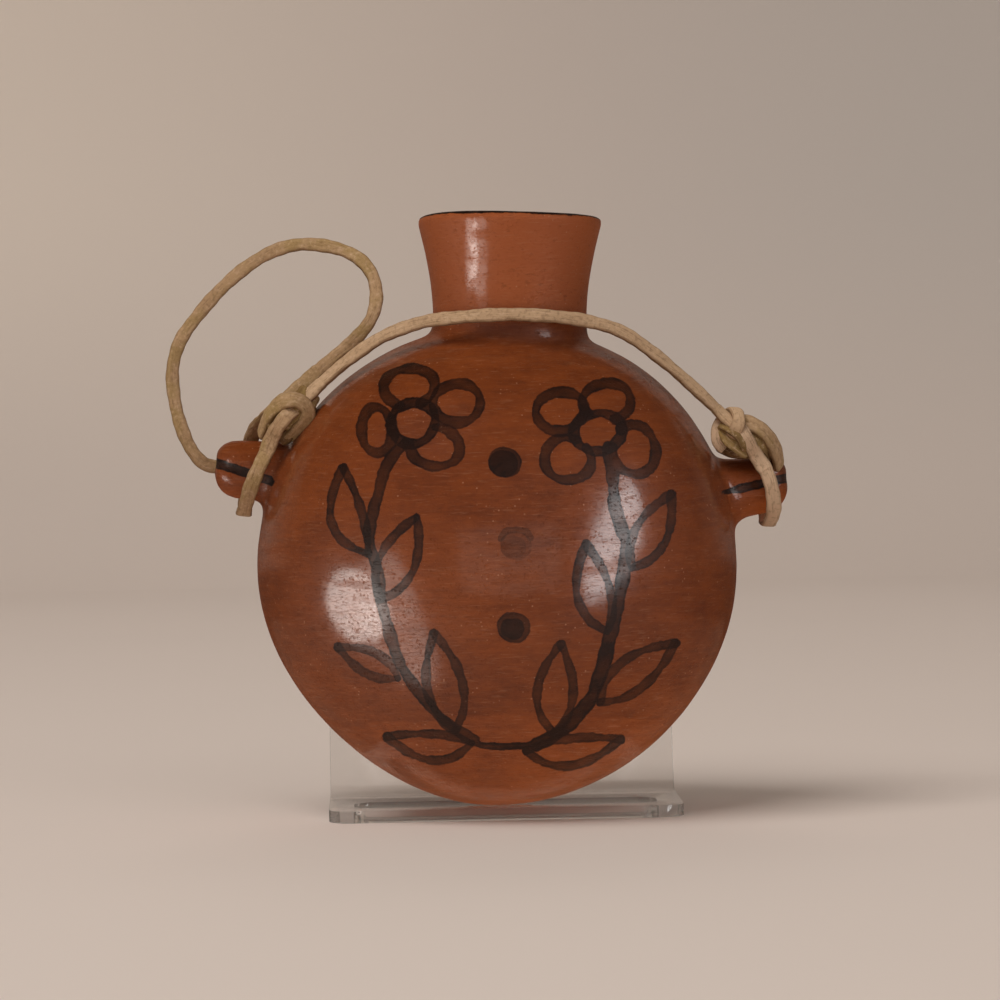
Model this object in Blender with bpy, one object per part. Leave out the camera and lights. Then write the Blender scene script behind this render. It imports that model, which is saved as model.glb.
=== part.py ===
"""A small pottery canteen, tied with a leather thong and seated in a clear bent stand.

Metres, +Z up, +X to the right of the painted face, +Y to its back. The canteen is modelled
about the centre of its body, then leaned back onto the stand.
"""

import math
from dataclasses import dataclass

import bmesh
import bpy
import numpy as np
from mathutils import Matrix, Vector
from mathutils.geometry import interpolate_bezier

TOUCHING_GAP = 0.0003
MILLIMETRE = 0.001
SHARP_ANGLE = math.radians(35)

# Body: a lens of clay, nearly round from the front and fuller in front than behind.
BODY_RADIUS = 0.0600
BODY_FRONT_DEPTH = 0.0460
BODY_BACK_DEPTH = 0.0400
BODY_WALL = 0.0050
BODY_AROUND = 60
BODY_ACROSS = 28
HOLLOW_AROUND = 32
HOLLOW_ACROSS = 16
PROFILE_POINTS = 1441
SETTLE_PASSES = 4
# How far the middle of each quarter of the hand-shaped outline swells out of the circle:
# upper right, upper left, lower left, lower right.
QUARTER_SWELL = (0.0011, 0.0, -0.0019, -0.0007)
# The canteen leans back on the stand, and sits turned a little to its right in the window.
CANTEEN_LEAN = math.radians(3.2)
CANTEEN_TURN = math.radians(1.0)

# Neck: a flaring spout, a little to the right of the middle. Its waist is just above the body.
NECK_OFFSET = 0.0033
NECK_WAIST_HEIGHT = BODY_RADIUS + 0.0040
NECK_TOP = NECK_WAIST_HEIGHT + 0.0230
NECK_WAIST_RADIUS = 0.0193
NECK_LIP_RADIUS = 0.0231
NECK_FLARE_POWER = 1.6
NECK_WALL = 0.0040
NECK_FILLET = 0.0030
LIP_ROUND = 0.0013
NECK_AROUND = 44
NECK_WALL_STEPS = 6
LIP_STEPS = 3

# Lugs: blunt nubs that the thong is looped round, with a shallow groove along the front.
LUG_AROUND = 24
LUG_FILLET = 0.0040
LUG_END_POWER = 2.6
LUG_END_LENGTH = 0.0065
LUG_END_STEPS = 5
LUG_END_SHARE = 0.995
GROOVE_DEPTH = 0.0013
GROOVE_HALF_WIDTH = 0.0017
ROOT_STEPS = 4
ROOT_SINK = 0.00035
ROOT_DEPTH = 0.0080

# Stand: one clear sheet, bent up at the back, with a window that the body sits in.
SHEET = 0.0030
STAND_WIDTH = 0.0880
STAND_OFFSET = 0.0010
FRONT_BAR = 0.0080
SIDE_ARM = 0.0062
WINDOW_DEPTH = 0.0150
WINDOW_CORNER = 0.0050
FOOT_CORNER = 0.0060
PANEL_LEAN = math.radians(18)
PANEL_LENGTH = 0.0600
PANEL_CORNER = 0.0080
BEND_RADIUS = 0.0035
BEND_STEPS = 6
CORNER_STEPS = 5

# Thong: one narrow lace of rawhide. Its solids are round, as wide as the lace.
THONG_WIDTH = 0.0033
THONG_SPACING = 2.5 * THONG_WIDTH
LOOP_SPACING = 1.2 * THONG_WIDTH
ROUTE_STEPS = 16
KNOT_AROUND = 16
KNOT_ACROSS = 12
KNOT_RIDGES = 3
KNOT_RIDGE = 0.10

# Routes in millimetres from the centre of the body, along the middle of the lace.
STRAP_ROUTE = (
    (-44.2, -10.3, 44.6),
    (-37.4, -11.9, 50.4),
    (-28.7, -14.2, 56.2),
    (-18.8, -17.1, 59.7),
    (-10.8, -19.8, 60.6),
    (-3.9, -21.3, 61.1),
    (3.2, -21.9, 61.3),
    (9.6, -21.3, 61.1),
    (15.8, -19.6, 60.7),
    (22.5, -17.8, 59.8),
    (30.7, -16.0, 57.3),
    (38.9, -13.9, 51.9),
    (47.3, -11.6, 45.0),
    (52.4, -10.2, 40.4),
    (54.8, -9.4, 38.2),
)
TAIL_ROUTE = (
    (-45.4, -5.2, 47.7),
    (-40.2, -6.2, 52.1),
    (-35.2, -7.4, 56.4),
    (-32.0, -7.6, 60.2),
    (-30.5, -6.6, 64.0),
    (-30.2, -5.0, 68.2),
    (-31.4, -3.4, 72.8),
    (-34.9, -1.6, 76.9),
    (-41.0, 0.4, 79.6),
    (-49.0, 2.2, 80.5),
    (-56.2, 3.4, 78.8),
    (-63.0, 4.2, 74.8),
    (-69.4, 4.6, 69.2),
    (-75.0, 4.8, 62.8),
    (-79.4, 4.8, 56.4),
    (-81.3, 4.8, 49.4),
    (-80.9, 4.8, 42.2),
    (-79.4, 4.9, 35.6),
    (-77.0, 5.4, 29.8),
    (-74.0, 6.6, 26.0),
    (-70.9, 7.8, 24.9),
    (-68.0, 9.0, 25.0),
)
LEFT_LOOP_ROUTE = (
    (-55.8, -9.0, 32.0),
    (-57.4, -9.4, 28.0),
    (-59.6, -9.5, 23.4),
    (-61.4, -8.8, 18.9),
    (-62.6, -6.2, 15.0),
    (-63.2, -2.4, 13.2),
    (-63.3, 1.6, 13.1),
    (-63.2, 5.6, 14.8),
    (-62.9, 8.6, 18.8),
    (-62.6, 9.4, 24.2),
    (-62.2, 8.4, 29.6),
    (-60.8, 5.0, 34.0),
    (-58.4, 0.8, 36.8),
)
RIGHT_LOOP_ROUTE = (
    (64.3, -8.5, 26.9),
    (66.6, -9.1, 23.4),
    (68.2, -8.8, 18.6),
    (68.8, -6.8, 13.9),
    (68.3, -2.8, 10.9),
    (67.9, 1.6, 10.5),
    (67.9, 5.8, 12.6),
    (68.4, 8.6, 17.0),
    (68.9, 8.5, 22.4),
    (68.9, 6.1, 27.2),
    (67.5, 2.4, 30.4),
)


@dataclass(frozen=True)
class Lug:
    """One nub: which side it is on, its length out of the skin, and its heights on the body."""

    side: int
    length: float
    root_height: float
    tip_height: float
    half_height: float
    half_depth: float
    tip_share: float
    groove_root_height: float
    groove_tip_height: float


@dataclass(frozen=True)
class Knot:
    """The outer shape of one tied knot: its middle, half sizes and turn about +Y."""

    name: str
    middle: tuple
    half_sizes: tuple
    turn: float


LEFT_LUG = Lug(-1, 0.0154, 0.0234, 0.0243, 0.0079, 0.0066, 0.88, 0.0205, 0.0256)
RIGHT_LUG = Lug(1, 0.0157, 0.0187, 0.0208, 0.0079, 0.0066, 0.86, 0.0182, 0.0218)

KNOTS = (
    Knot("knot_left", (-51.6, -7.0, 40.2), (8.2, 5.0, 4.9), math.radians(-36)),
    Knot("knot_right", (60.6, -6.6, 32.6), (7.6, 4.8, 4.8), math.radians(34)),
)


def clear_scene():
    for obj in list(bpy.data.objects):
        bpy.data.objects.remove(obj, do_unlink=True)


def material(name, colour, roughness, transmission=0.0):
    made = bpy.data.materials.new(name)
    made.use_nodes = True
    shader = made.node_tree.nodes["Principled BSDF"]
    shader.inputs["Base Color"].default_value = (*colour, 1.0)
    shader.inputs["Roughness"].default_value = roughness
    shader.inputs["Metallic"].default_value = 0.0
    shader.inputs["Transmission Weight"].default_value = transmission
    return made


def empty(name, parent=None):
    made = bpy.data.objects.new(name, None)
    bpy.context.scene.collection.objects.link(made)
    made.parent = parent
    return made


def place(name, data, surface, parent):
    made = bpy.data.objects.new(name, data)
    made.data.materials.append(surface)
    made.parent = parent
    bpy.context.scene.collection.objects.link(made)
    return made


def mesh_from(bm, name):
    """The finished mesh, with its faces turned outwards and its round parts shaded smooth."""
    bmesh.ops.recalc_face_normals(bm, faces=bm.faces)
    mesh = bpy.data.meshes.new(name)
    bm.to_mesh(mesh)
    bm.free()
    mesh.shade_smooth()
    mesh.set_sharp_from_angle(angle=SHARP_ANGLE)
    return mesh


def lofted(name, rings):
    """A closed skin over rings of as many points each, with both ends capped."""
    bm = bmesh.new()
    loops = [[bm.verts.new(point) for point in ring] for ring in rings]
    for near, far in zip(loops, loops[1:]):
        for i in range(len(near)):
            j = (i + 1) % len(near)
            bm.faces.new((near[i], near[j], far[j], far[i]))
    caps = [bm.faces.new(loops[0][::-1]), bm.faces.new(loops[-1])]
    bmesh.ops.poke(bm, faces=caps)
    return mesh_from(bm, name)


def angles(count):
    return [2 * math.pi * i / count for i in range(count)]


def boolean(obj, cutter, operation):
    """Joins or cuts obj with a helper that isn't a part itself."""
    cutter.hide_render = True
    cutter.display_type = "WIRE"
    modifier = obj.modifiers.new(cutter.name, "BOOLEAN")
    modifier.operation = operation
    modifier.object = cutter


# The body


def outline_radius(angle):
    """The body's radius seen from the front, at an angle from +X towards +Z."""
    quarter = int((angle % (2 * math.pi)) // (math.pi / 2))
    return BODY_RADIUS + QUARTER_SWELL[quarter] * math.sin(2 * angle) ** 2


def body_depth(y):
    return BODY_FRONT_DEPTH if y < 0 else BODY_BACK_DEPTH


def lens(name, around, across, inset):
    """The body's skin, or the hollow inside it when inset by the wall."""
    bm = bmesh.new()
    bmesh.ops.create_uvsphere(bm, u_segments=around, v_segments=across, radius=1)
    bmesh.ops.rotate(bm, verts=bm.verts, matrix=Matrix.Rotation(math.pi / 2, 3, "X"))
    for vert in bm.verts:
        x, y, z = vert.co
        radius = outline_radius(math.atan2(z, x)) - inset
        vert.co = (x * radius, y * (body_depth(y) - inset), z * radius)
    return mesh_from(bm, name)


def top_height(x, y):
    """Height of the body's skin above its centre, over a point near the neck."""
    height = BODY_RADIUS
    slimmer = math.sqrt(1 - (y / body_depth(y)) ** 2)
    for _ in range(SETTLE_PASSES):
        radius = outline_radius(math.atan2(height, x)) * slimmer
        height = math.sqrt(radius**2 - x**2)
    return height


def side_reach(side, y, z):
    """Distance of the body's skin to one side of its centre, level with a point."""
    reach = BODY_RADIUS
    slimmer = math.sqrt(1 - (y / body_depth(y)) ** 2)
    for _ in range(SETTLE_PASSES):
        radius = outline_radius(math.atan2(z, side * reach)) * slimmer
        reach = math.sqrt(radius**2 - z**2)
    return reach


def leaned_profile():
    """The body's middle section as it leans on the stand: y and z from its centre, in arrays."""
    turn = np.linspace(-math.pi, math.pi, PROFILE_POINTS)
    depth = np.where(np.sin(turn) < 0, BODY_FRONT_DEPTH, BODY_BACK_DEPTH)
    y = depth * np.sin(turn)
    z = -BODY_RADIUS * np.cos(turn)
    lean = CANTEEN_LEAN
    return y * math.cos(lean) + z * math.sin(lean), z * math.cos(lean) - y * math.sin(lean)


def root_rings(section, height, fillet):
    """Rings that fillet a sprouting piece into the skin below it, from inside the wall outwards.

    section gives the piece's outline when it has grown by a length, as pairs across its axis,
    and height gives how far along that axis the skin is at such a pair.
    """
    rings = [[(u, v, height(u, v) - ROOT_DEPTH) for u, v in section(0.0)]]
    for step in range(ROOT_STEPS + 1):
        angle = math.pi / 2 * (1 - step / ROOT_STEPS)
        grow = fillet * (1 - math.cos(angle))
        rise = fillet * (1 - math.sin(angle)) - ROOT_SINK
        rings.append([(u, v, height(u, v) + rise) for u, v in section(grow)])
    return rings


# The neck


def neck_radius(height):
    """Outer radius of the neck's wall at a height above the body's centre."""
    share = max(0.0, (height - NECK_WAIST_HEIGHT) / (NECK_TOP - NECK_WAIST_HEIGHT))
    return NECK_WAIST_RADIUS + (NECK_LIP_RADIUS - NECK_WAIST_RADIUS) * share**NECK_FLARE_POWER


def neck_circle(radius):
    return [
        (NECK_OFFSET + radius * math.cos(a), radius * math.sin(a)) for a in angles(NECK_AROUND)
    ]


def neck_heights():
    """Heights of the wall's rings, from the waist to where the lip starts to round."""
    tall = NECK_TOP - LIP_ROUND - NECK_WAIST_HEIGHT
    return [NECK_WAIST_HEIGHT + tall * i / NECK_WALL_STEPS for i in range(NECK_WALL_STEPS + 1)]


def lip_arc():
    """Steps of the lip's rounding: how far in from its side, and down from its top."""
    turns = [math.pi / 2 * i / LIP_STEPS for i in range(1, LIP_STEPS + 1)]
    return [(LIP_ROUND * (1 - math.cos(a)), LIP_ROUND * (1 - math.sin(a))) for a in turns]


def neck_outside():
    rings = root_rings(
        lambda grow: neck_circle(NECK_WAIST_RADIUS + grow), top_height, NECK_FILLET
    )
    for height in neck_heights():
        rings.append([(x, y, height) for x, y in neck_circle(neck_radius(height))])
    lip = neck_radius(NECK_TOP - LIP_ROUND)
    for inward, below in lip_arc():
        rings.append([(x, y, NECK_TOP - below) for x, y in neck_circle(lip - inward)])
    return lofted("neck_outside", rings)


def neck_bore():
    """The way in: from the hollow up through the rim, rounded at its mouth."""
    foot = NECK_WAIST_HEIGHT - BODY_WALL - ROOT_DEPTH
    heights = [foot] + neck_heights()
    rings = [[(x, y, h) for x, y in neck_circle(neck_radius(h) - NECK_WALL)] for h in heights]
    mouth = neck_radius(NECK_TOP - LIP_ROUND) - NECK_WALL
    for outward, below in lip_arc():
        rings.append([(x, y, NECK_TOP - below) for x, y in neck_circle(mouth + outward)])
    rings.append([(x, y, NECK_TOP + ROOT_DEPTH) for x, y in neck_circle(mouth + LIP_ROUND)])
    return lofted("neck_bore", rings)


# The lugs


def lug_outside(lug):
    """One nub, filleted into the body's side and grooved along its front and round its tip."""
    root = side_reach(lug.side, 0.0, lug.root_height)
    tip_reach = root + lug.length

    def between(at_root, at_tip, reach):
        return at_root + (at_tip - at_root) * (reach - root) / lug.length

    def middle(reach):
        return between(lug.root_height, lug.tip_height, reach)

    def groove(reach):
        return between(lug.groove_root_height, lug.groove_tip_height, reach)

    def section(grow, share=1.0, reach=root):
        return [
            (
                (lug.half_depth * share + grow) * math.cos(a),
                middle(reach) + (lug.half_height * share + grow) * math.sin(a),
            )
            for a in angles(LUG_AROUND)
        ]

    rings = root_rings(section, lambda y, z: side_reach(lug.side, y, z), LUG_FILLET)
    end = tip_reach - LUG_END_LENGTH
    start = root + LUG_FILLET
    for step in range(LUG_END_STEPS + 1):
        t = math.sin(math.pi / 2 * step / LUG_END_STEPS)
        rounded = (1 - min(t, LUG_END_SHARE) ** LUG_END_POWER) ** (1 / LUG_END_POWER)
        reach = end + LUG_END_LENGTH * t
        share = rounded * (1 + (lug.tip_share - 1) * (reach - start) / (tip_reach - start))
        rings.append([(y, z, reach) for y, z in section(0.0, share, reach)])
    shaped = []
    for ring in rings:
        points = []
        for y, z, reach in ring:
            near = math.exp(-(((z - groove(reach)) / GROOVE_HALF_WIDTH) ** 2))
            outer = min(1.0, max(0.0, (reach - start) / LUG_END_LENGTH))
            front = max(0.0, -y / lug.half_depth)
            tip = max(0.0, (reach - end) / LUG_END_LENGTH)
            y += GROOVE_DEPTH * near * outer * front
            reach -= GROOVE_DEPTH * near * tip**2
            points.append((lug.side * reach, y, z))
        shaped.append(points)
    return lofted("lug_outside", shaped)


def canteen(surface, parent):
    """The clay vessel: one hollow piece with its neck and both lugs."""
    made = place("canteen", lens("canteen", BODY_AROUND, BODY_ACROSS, 0.0), surface, parent)
    sprouts = [neck_outside(), lug_outside(LEFT_LUG), lug_outside(RIGHT_LUG)]
    for mesh in sprouts:
        boolean(made, place(f"helper_{mesh.name}", mesh, surface, parent), "UNION")
    hollows = [lens("hollow", HOLLOW_AROUND, HOLLOW_ACROSS, BODY_WALL), neck_bore()]
    for mesh in hollows:
        boolean(made, place(f"helper_{mesh.name}", mesh, surface, parent), "DIFFERENCE")
    return made


# The stand


@dataclass(frozen=True)
class Seat:
    """Where the leaned body sits: its centre above the table, and the stand's own stations."""

    centre_height: float
    window_middle: float
    panel_foot: float

    @property
    def front(self):
        return self.window_middle - WINDOW_DEPTH / 2 - FRONT_BAR


def seat():
    """Drops the leaned body into the window and sets the panel against its back."""
    y, z = leaned_profile()
    lowest = float(y[np.argmin(z)])
    lower = z < 0
    order = np.argsort(y[lower])
    below = [
        float(np.interp(lowest + across, y[lower][order], z[lower][order]))
        for across in (-WINDOW_DEPTH / 2, WINDOW_DEPTH / 2)
    ]
    centre_height = SHEET + TOUCHING_GAP - min(below)
    bulge = float(np.max(y * math.cos(PANEL_LEAN) - z * math.sin(PANEL_LEAN)))
    drop = (centre_height - SHEET) * math.sin(PANEL_LEAN)
    panel_foot = (bulge + TOUCHING_GAP - drop) / math.cos(PANEL_LEAN)
    return Seat(centre_height, lowest, panel_foot)


def stand_profile(where):
    """The bent sheet's side view as (y, z) points, all the way round it."""
    turned = math.pi / 2 - PANEL_LEAN
    tangent = BEND_RADIUS * math.tan(turned / 2)
    bend_y = where.panel_foot - tangent
    inner = []
    outer = []
    for step in range(BEND_STEPS + 1):
        a = turned * step / BEND_STEPS
        for side, radius in ((inner, BEND_RADIUS), (outer, BEND_RADIUS + SHEET)):
            side.append(
                (bend_y + radius * math.sin(a), SHEET + BEND_RADIUS - radius * math.cos(a))
            )
    up = Vector((math.sin(PANEL_LEAN), math.cos(PANEL_LEAN))) * (PANEL_LENGTH - tangent)
    inner.append(tuple(Vector(inner[-1]) + up))
    outer.append(tuple(Vector(outer[-1]) + up))
    return [(where.front, 0.0)] + outer + inner[::-1] + [(where.front, SHEET)]


def bent_sheet(where):
    """The whole sheet before its window is cut, with rounded front and top corners."""
    bm = bmesh.new()
    half = STAND_WIDTH / 2
    outline = [bm.verts.new((-half, y, z)) for y, z in stand_profile(where)]
    made = bmesh.ops.extrude_face_region(bm, geom=[bm.faces.new(outline)])
    moved = [item for item in made["geom"] if isinstance(item, bmesh.types.BMVert)]
    bmesh.ops.translate(bm, verts=moved, vec=(STAND_WIDTH, 0, 0))
    top = max(vert.co.z for vert in bm.verts)

    def corner_edges(at_corner):
        """The short edges through the sheet's thickness at its left and right ends."""
        return [
            edge
            for edge in bm.edges
            if abs(edge.verts[0].co.x - edge.verts[1].co.x) < SHEET / 2
            and all(at_corner(vert.co) for vert in edge.verts)
        ]

    front = corner_edges(lambda co: co.y < where.front + SHEET / 2)
    upper = corner_edges(lambda co: co.z > top - SHEET)
    for edges, radius in ((front, FOOT_CORNER), (upper, PANEL_CORNER)):
        bmesh.ops.bevel(
            bm, geom=edges, offset=radius, segments=CORNER_STEPS, profile=0.5, affect="EDGES"
        )
    return mesh_from(bm, "stand")


def window_cutter(where):
    bm = bmesh.new()
    width = STAND_WIDTH - 2 * SIDE_ARM
    size = Matrix.Diagonal((width, WINDOW_DEPTH, 4 * SHEET, 1))
    bmesh.ops.create_cube(bm, size=1, matrix=size)
    upright = [e for e in bm.edges if abs(e.verts[0].co.z - e.verts[1].co.z) > SHEET]
    bmesh.ops.bevel(
        bm, geom=upright, offset=WINDOW_CORNER, segments=CORNER_STEPS, profile=0.5, affect="EDGES"
    )
    bmesh.ops.translate(bm, verts=bm.verts, vec=(0, where.window_middle, SHEET / 2))
    return mesh_from(bm, "window")


def stand(surface, parent, where):
    """The clear easel, a little to the right under the canteen."""
    made = place("stand", bent_sheet(where), surface, parent)
    cutter = place("helper_window", window_cutter(where), surface, parent)
    for obj in (made, cutter):
        obj.location.x = STAND_OFFSET
    boolean(made, cutter, "DIFFERENCE")
    return made


# The thong


def smooth_route(route, spacing):
    """Evenly spaced points in metres on one smooth curve through the route's points."""
    points = [Vector(point) * MILLIMETRE for point in route]
    before = [points[0]] + points[:-1]
    after = points[1:] + [points[-1]]
    pulls = [(b - a) / 6 for a, b in zip(before, after)]
    fine = [points[0]]
    for i in range(len(points) - 1):
        start, end = points[i], points[i + 1]
        handles = (start + pulls[i], end - pulls[i + 1])
        fine += interpolate_bezier(start, *handles, end, ROUTE_STEPS)[1:]
    steps = [(b - a).length for a, b in zip(fine, fine[1:])]
    along = np.concatenate([[0.0], np.cumsum(steps)])
    places = np.linspace(0, along[-1], max(2, round(along[-1] / spacing)) + 1)
    columns = [np.interp(places, along, [point[axis] for point in fine]) for axis in range(3)]
    return list(zip(*columns))


def lace(name, route, spacing, surface, parent):
    curve = bpy.data.curves.new(name, "CURVE")
    curve.dimensions = "3D"
    curve.bevel_depth = THONG_WIDTH / 2
    curve.bevel_resolution = 2
    curve.use_fill_caps = True
    spline = curve.splines.new("POLY")
    points = smooth_route(route, spacing)
    spline.points.add(len(points) - 1)
    for target, point in zip(spline.points, points):
        target.co = (*point, 1.0)
    return place(name, curve, surface, parent)


def knot(shape, surface, parent):
    """The outer shape of a knot: a lump with the ridges of its turns across it."""
    bm = bmesh.new()
    bmesh.ops.create_uvsphere(
        bm, u_segments=KNOT_AROUND, v_segments=KNOT_ACROSS, radius=1,
        matrix=Matrix.Rotation(math.pi / 2, 4, "Y"),
    )
    for vert in bm.verts:
        ridge = 1 + KNOT_RIDGE * math.cos(math.pi * KNOT_RIDGES * vert.co.x)
        vert.co = vert.co * Vector((1, ridge, ridge)) * Vector(shape.half_sizes) * MILLIMETRE
    made = place(shape.name, mesh_from(bm, shape.name), surface, parent)
    made.location = Vector(shape.middle) * MILLIMETRE
    made.rotation_euler.y = shape.turn
    return made


def box_of(objects):
    """Lowest and highest corners of some objects as they are evaluated."""
    bpy.context.view_layer.update()
    graph = bpy.context.evaluated_depsgraph_get()
    corners = []
    for obj in objects:
        seen = obj.evaluated_get(graph)
        corners += [seen.matrix_world @ vert.co for vert in seen.data.vertices]
    low = Vector(min(c[axis] for c in corners) for axis in range(3))
    high = Vector(max(c[axis] for c in corners) for axis in range(3))
    return low, high


def main():
    clear_scene()
    clay = material("fired_clay", (0.20, 0.055, 0.022), 0.42)
    rawhide = material("rawhide", (0.50, 0.36, 0.21), 0.65)
    acrylic = material("clear_acrylic", (1.0, 1.0, 1.0), 0.03, transmission=1.0)

    where = seat()
    assembly = empty("assembly")
    leaning = empty("leaning_canteen", assembly)
    leaning.location.z = where.centre_height
    leaning.rotation_euler = (-CANTEEN_LEAN, CANTEEN_TURN, 0.0)

    vessel = canteen(clay, leaning)
    easel = stand(acrylic, assembly, where)
    lace("thong_strap", STRAP_ROUTE, THONG_SPACING, rawhide, leaning)
    lace("thong_tail", TAIL_ROUTE, THONG_SPACING, rawhide, leaning)
    lace("lug_loop_left", LEFT_LOOP_ROUTE, LOOP_SPACING, rawhide, leaning)
    lace("lug_loop_right", RIGHT_LOOP_ROUTE, LOOP_SPACING, rawhide, leaning)
    for shape in KNOTS:
        knot(shape, rawhide, leaning)

    low, high = box_of([vessel, easel])
    assembly.location = (-(low.x + high.x) / 2, -(low.y + high.y) / 2, -low.z)


main()
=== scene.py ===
"""A small painted pottery canteen, tied with a rawhide thong and seated in a clear bent stand.

Metres, +Z up, +X to the right of the painted face, +Y to its back. The canteen, its painting and
its thong are made about the centre of the body and then leaned onto the stand. Sizes that are
given in millimetres say so.
"""

import logging
import math
from dataclasses import dataclass, field, replace
from enum import Enum
from typing import Any, Callable, Iterable, Sequence

import bmesh
import bpy
import numpy as np
from mathutils import Euler, Matrix, Vector, noise
from mathutils.geometry import interpolate_bezier

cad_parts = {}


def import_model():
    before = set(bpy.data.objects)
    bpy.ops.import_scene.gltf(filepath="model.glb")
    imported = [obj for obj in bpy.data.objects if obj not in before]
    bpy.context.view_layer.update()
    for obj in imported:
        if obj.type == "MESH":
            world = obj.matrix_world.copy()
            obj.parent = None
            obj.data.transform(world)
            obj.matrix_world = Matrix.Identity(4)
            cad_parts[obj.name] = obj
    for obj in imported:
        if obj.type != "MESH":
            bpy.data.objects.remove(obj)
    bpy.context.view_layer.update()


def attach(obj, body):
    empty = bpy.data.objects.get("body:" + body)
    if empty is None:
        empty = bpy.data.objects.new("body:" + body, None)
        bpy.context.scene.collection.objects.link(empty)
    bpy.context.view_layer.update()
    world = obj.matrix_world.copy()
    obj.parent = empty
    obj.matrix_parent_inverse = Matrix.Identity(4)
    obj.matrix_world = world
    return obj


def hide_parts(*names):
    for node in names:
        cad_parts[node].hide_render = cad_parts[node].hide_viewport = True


LOG = logging.getLogger("canteen")
MM = 0.001
TINY = 1e-6
OUTSIDE = -9.0
BODY = "root"
RIM_WAVE = 0.00028

# Where the centre of the clay body stands, and how the canteen leans on its stand.
BODY_CENTRE = Vector((-0.001556, -0.000073, 0.062367))
LEAN = math.radians(3.2)
TURN = math.radians(1.0)
PLACE = Matrix.Translation(BODY_CENTRE) @ Euler((-LEAN, TURN, 0.0)).to_matrix().to_4x4()


# Modelling helpers


def start_fresh() -> None:
    """Leaves edit mode and deselects everything."""
    if bpy.context.object and bpy.context.object.mode != "OBJECT":
        bpy.ops.object.mode_set(mode="OBJECT")
    bpy.ops.object.select_all(action="DESELECT")


def take_up(obj: bpy.types.Object) -> None:
    """Makes one object the only selected and the active one."""
    start_fresh()
    obj.select_set(True)
    bpy.context.view_layer.objects.active = obj


def choose(obj: bpy.types.Object, test: Callable[[Vector], bool]) -> None:
    """Selects the vertices of a mesh in edit mode by their place.

    Args:
        obj: The object in edit mode.
        test: Says of a vertex's place whether it is selected.
    """
    bpy.ops.mesh.select_mode(type="VERT")
    mesh = bmesh.from_edit_mesh(obj.data)
    for vert in mesh.verts:
        vert.select_set(test(vert.co))
    mesh.select_flush(True)
    bmesh.update_edit_mesh(obj.data)


def finish_with(obj: bpy.types.Object, kind: str, **settings: Any) -> None:
    """Adds one modifier and applies it.

    Args:
        obj: The object to finish.
        kind: The modifier's type.
        settings: Its settings by name.
    """
    take_up(obj)
    modifier = obj.modifiers.new(kind.lower(), kind)
    for name, value in settings.items():
        setattr(modifier, name, value)
    bpy.ops.object.modifier_apply(modifier=modifier.name)


def merge_into(obj: bpy.types.Object, other: bpy.types.Object, operation: str) -> None:
    """Joins or cuts a solid with another, which is used up.

    Args:
        obj: The solid that stays.
        other: The solid that joins or cuts it.
        operation: UNION or DIFFERENCE.
    """
    finish_with(obj, "BOOLEAN", operation=operation, object=other, solver="MANIFOLD")
    bpy.data.objects.remove(other, do_unlink=True)


def places_of(obj: bpy.types.Object) -> np.ndarray:
    """The vertices of a mesh as rows of three numbers."""
    places = np.empty(len(obj.data.vertices) * 3)
    obj.data.vertices.foreach_get("co", places)
    return places.reshape(-1, 3)


def put_places(obj: bpy.types.Object, places: np.ndarray) -> None:
    """Moves the vertices of a mesh to new places."""
    obj.data.vertices.foreach_set("co", places.astype(np.float32).ravel())
    obj.data.update()


def normals_of(obj: bpy.types.Object) -> np.ndarray:
    """The vertex normals of a mesh as rows of three numbers."""
    normals = np.empty(len(obj.data.vertices) * 3, dtype=np.float32)
    obj.data.vertex_normals.foreach_get("vector", normals)
    return normals.reshape(-1, 3).astype(float)


def lay_value(obj: bpy.types.Object, name: str, values: np.ndarray) -> None:
    """Stores one number per vertex under a name that a material can read."""
    layer = obj.data.attributes.new(name, "FLOAT", "POINT")
    layer.data.foreach_set("value", values.astype(np.float32))


def drop_place(obj: bpy.types.Object) -> None:
    """Moves an object's own place, turn and scale into its mesh."""
    take_up(obj)
    bpy.ops.object.transform_apply(location=True, rotation=True, scale=True)


def mesh_object(name: str, points: Iterable, faces: Iterable) -> bpy.types.Object:
    """An object made straight from points and faces, for swept pieces.

    Args:
        name: The object's name.
        points: Its vertices.
        faces: Its faces, as rows of vertex numbers.

    Returns:
        The linked object, shaded smooth.
    """
    mesh = bpy.data.meshes.new(name)
    mesh.from_pydata([tuple(p) for p in points], [], [tuple(f) for f in faces])
    mesh.shade_smooth()
    made = bpy.data.objects.new(name, mesh)
    bpy.context.scene.collection.objects.link(made)
    return made


def wander(places: np.ndarray, scale: float, seed: float) -> np.ndarray:
    """Smooth noise from -1 to 1 over some places.

    Args:
        places: Rows of three numbers in metres.
        scale: How many noise cells there are to a metre.
        seed: Moves the noise so that each use differs.

    Returns:
        One number per row.
    """
    shift = Vector((seed, seed * 1.7, -seed * 2.3))
    return np.array([noise.noise(Vector(p) * scale + shift) for p in places])


# Shader helpers


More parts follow.
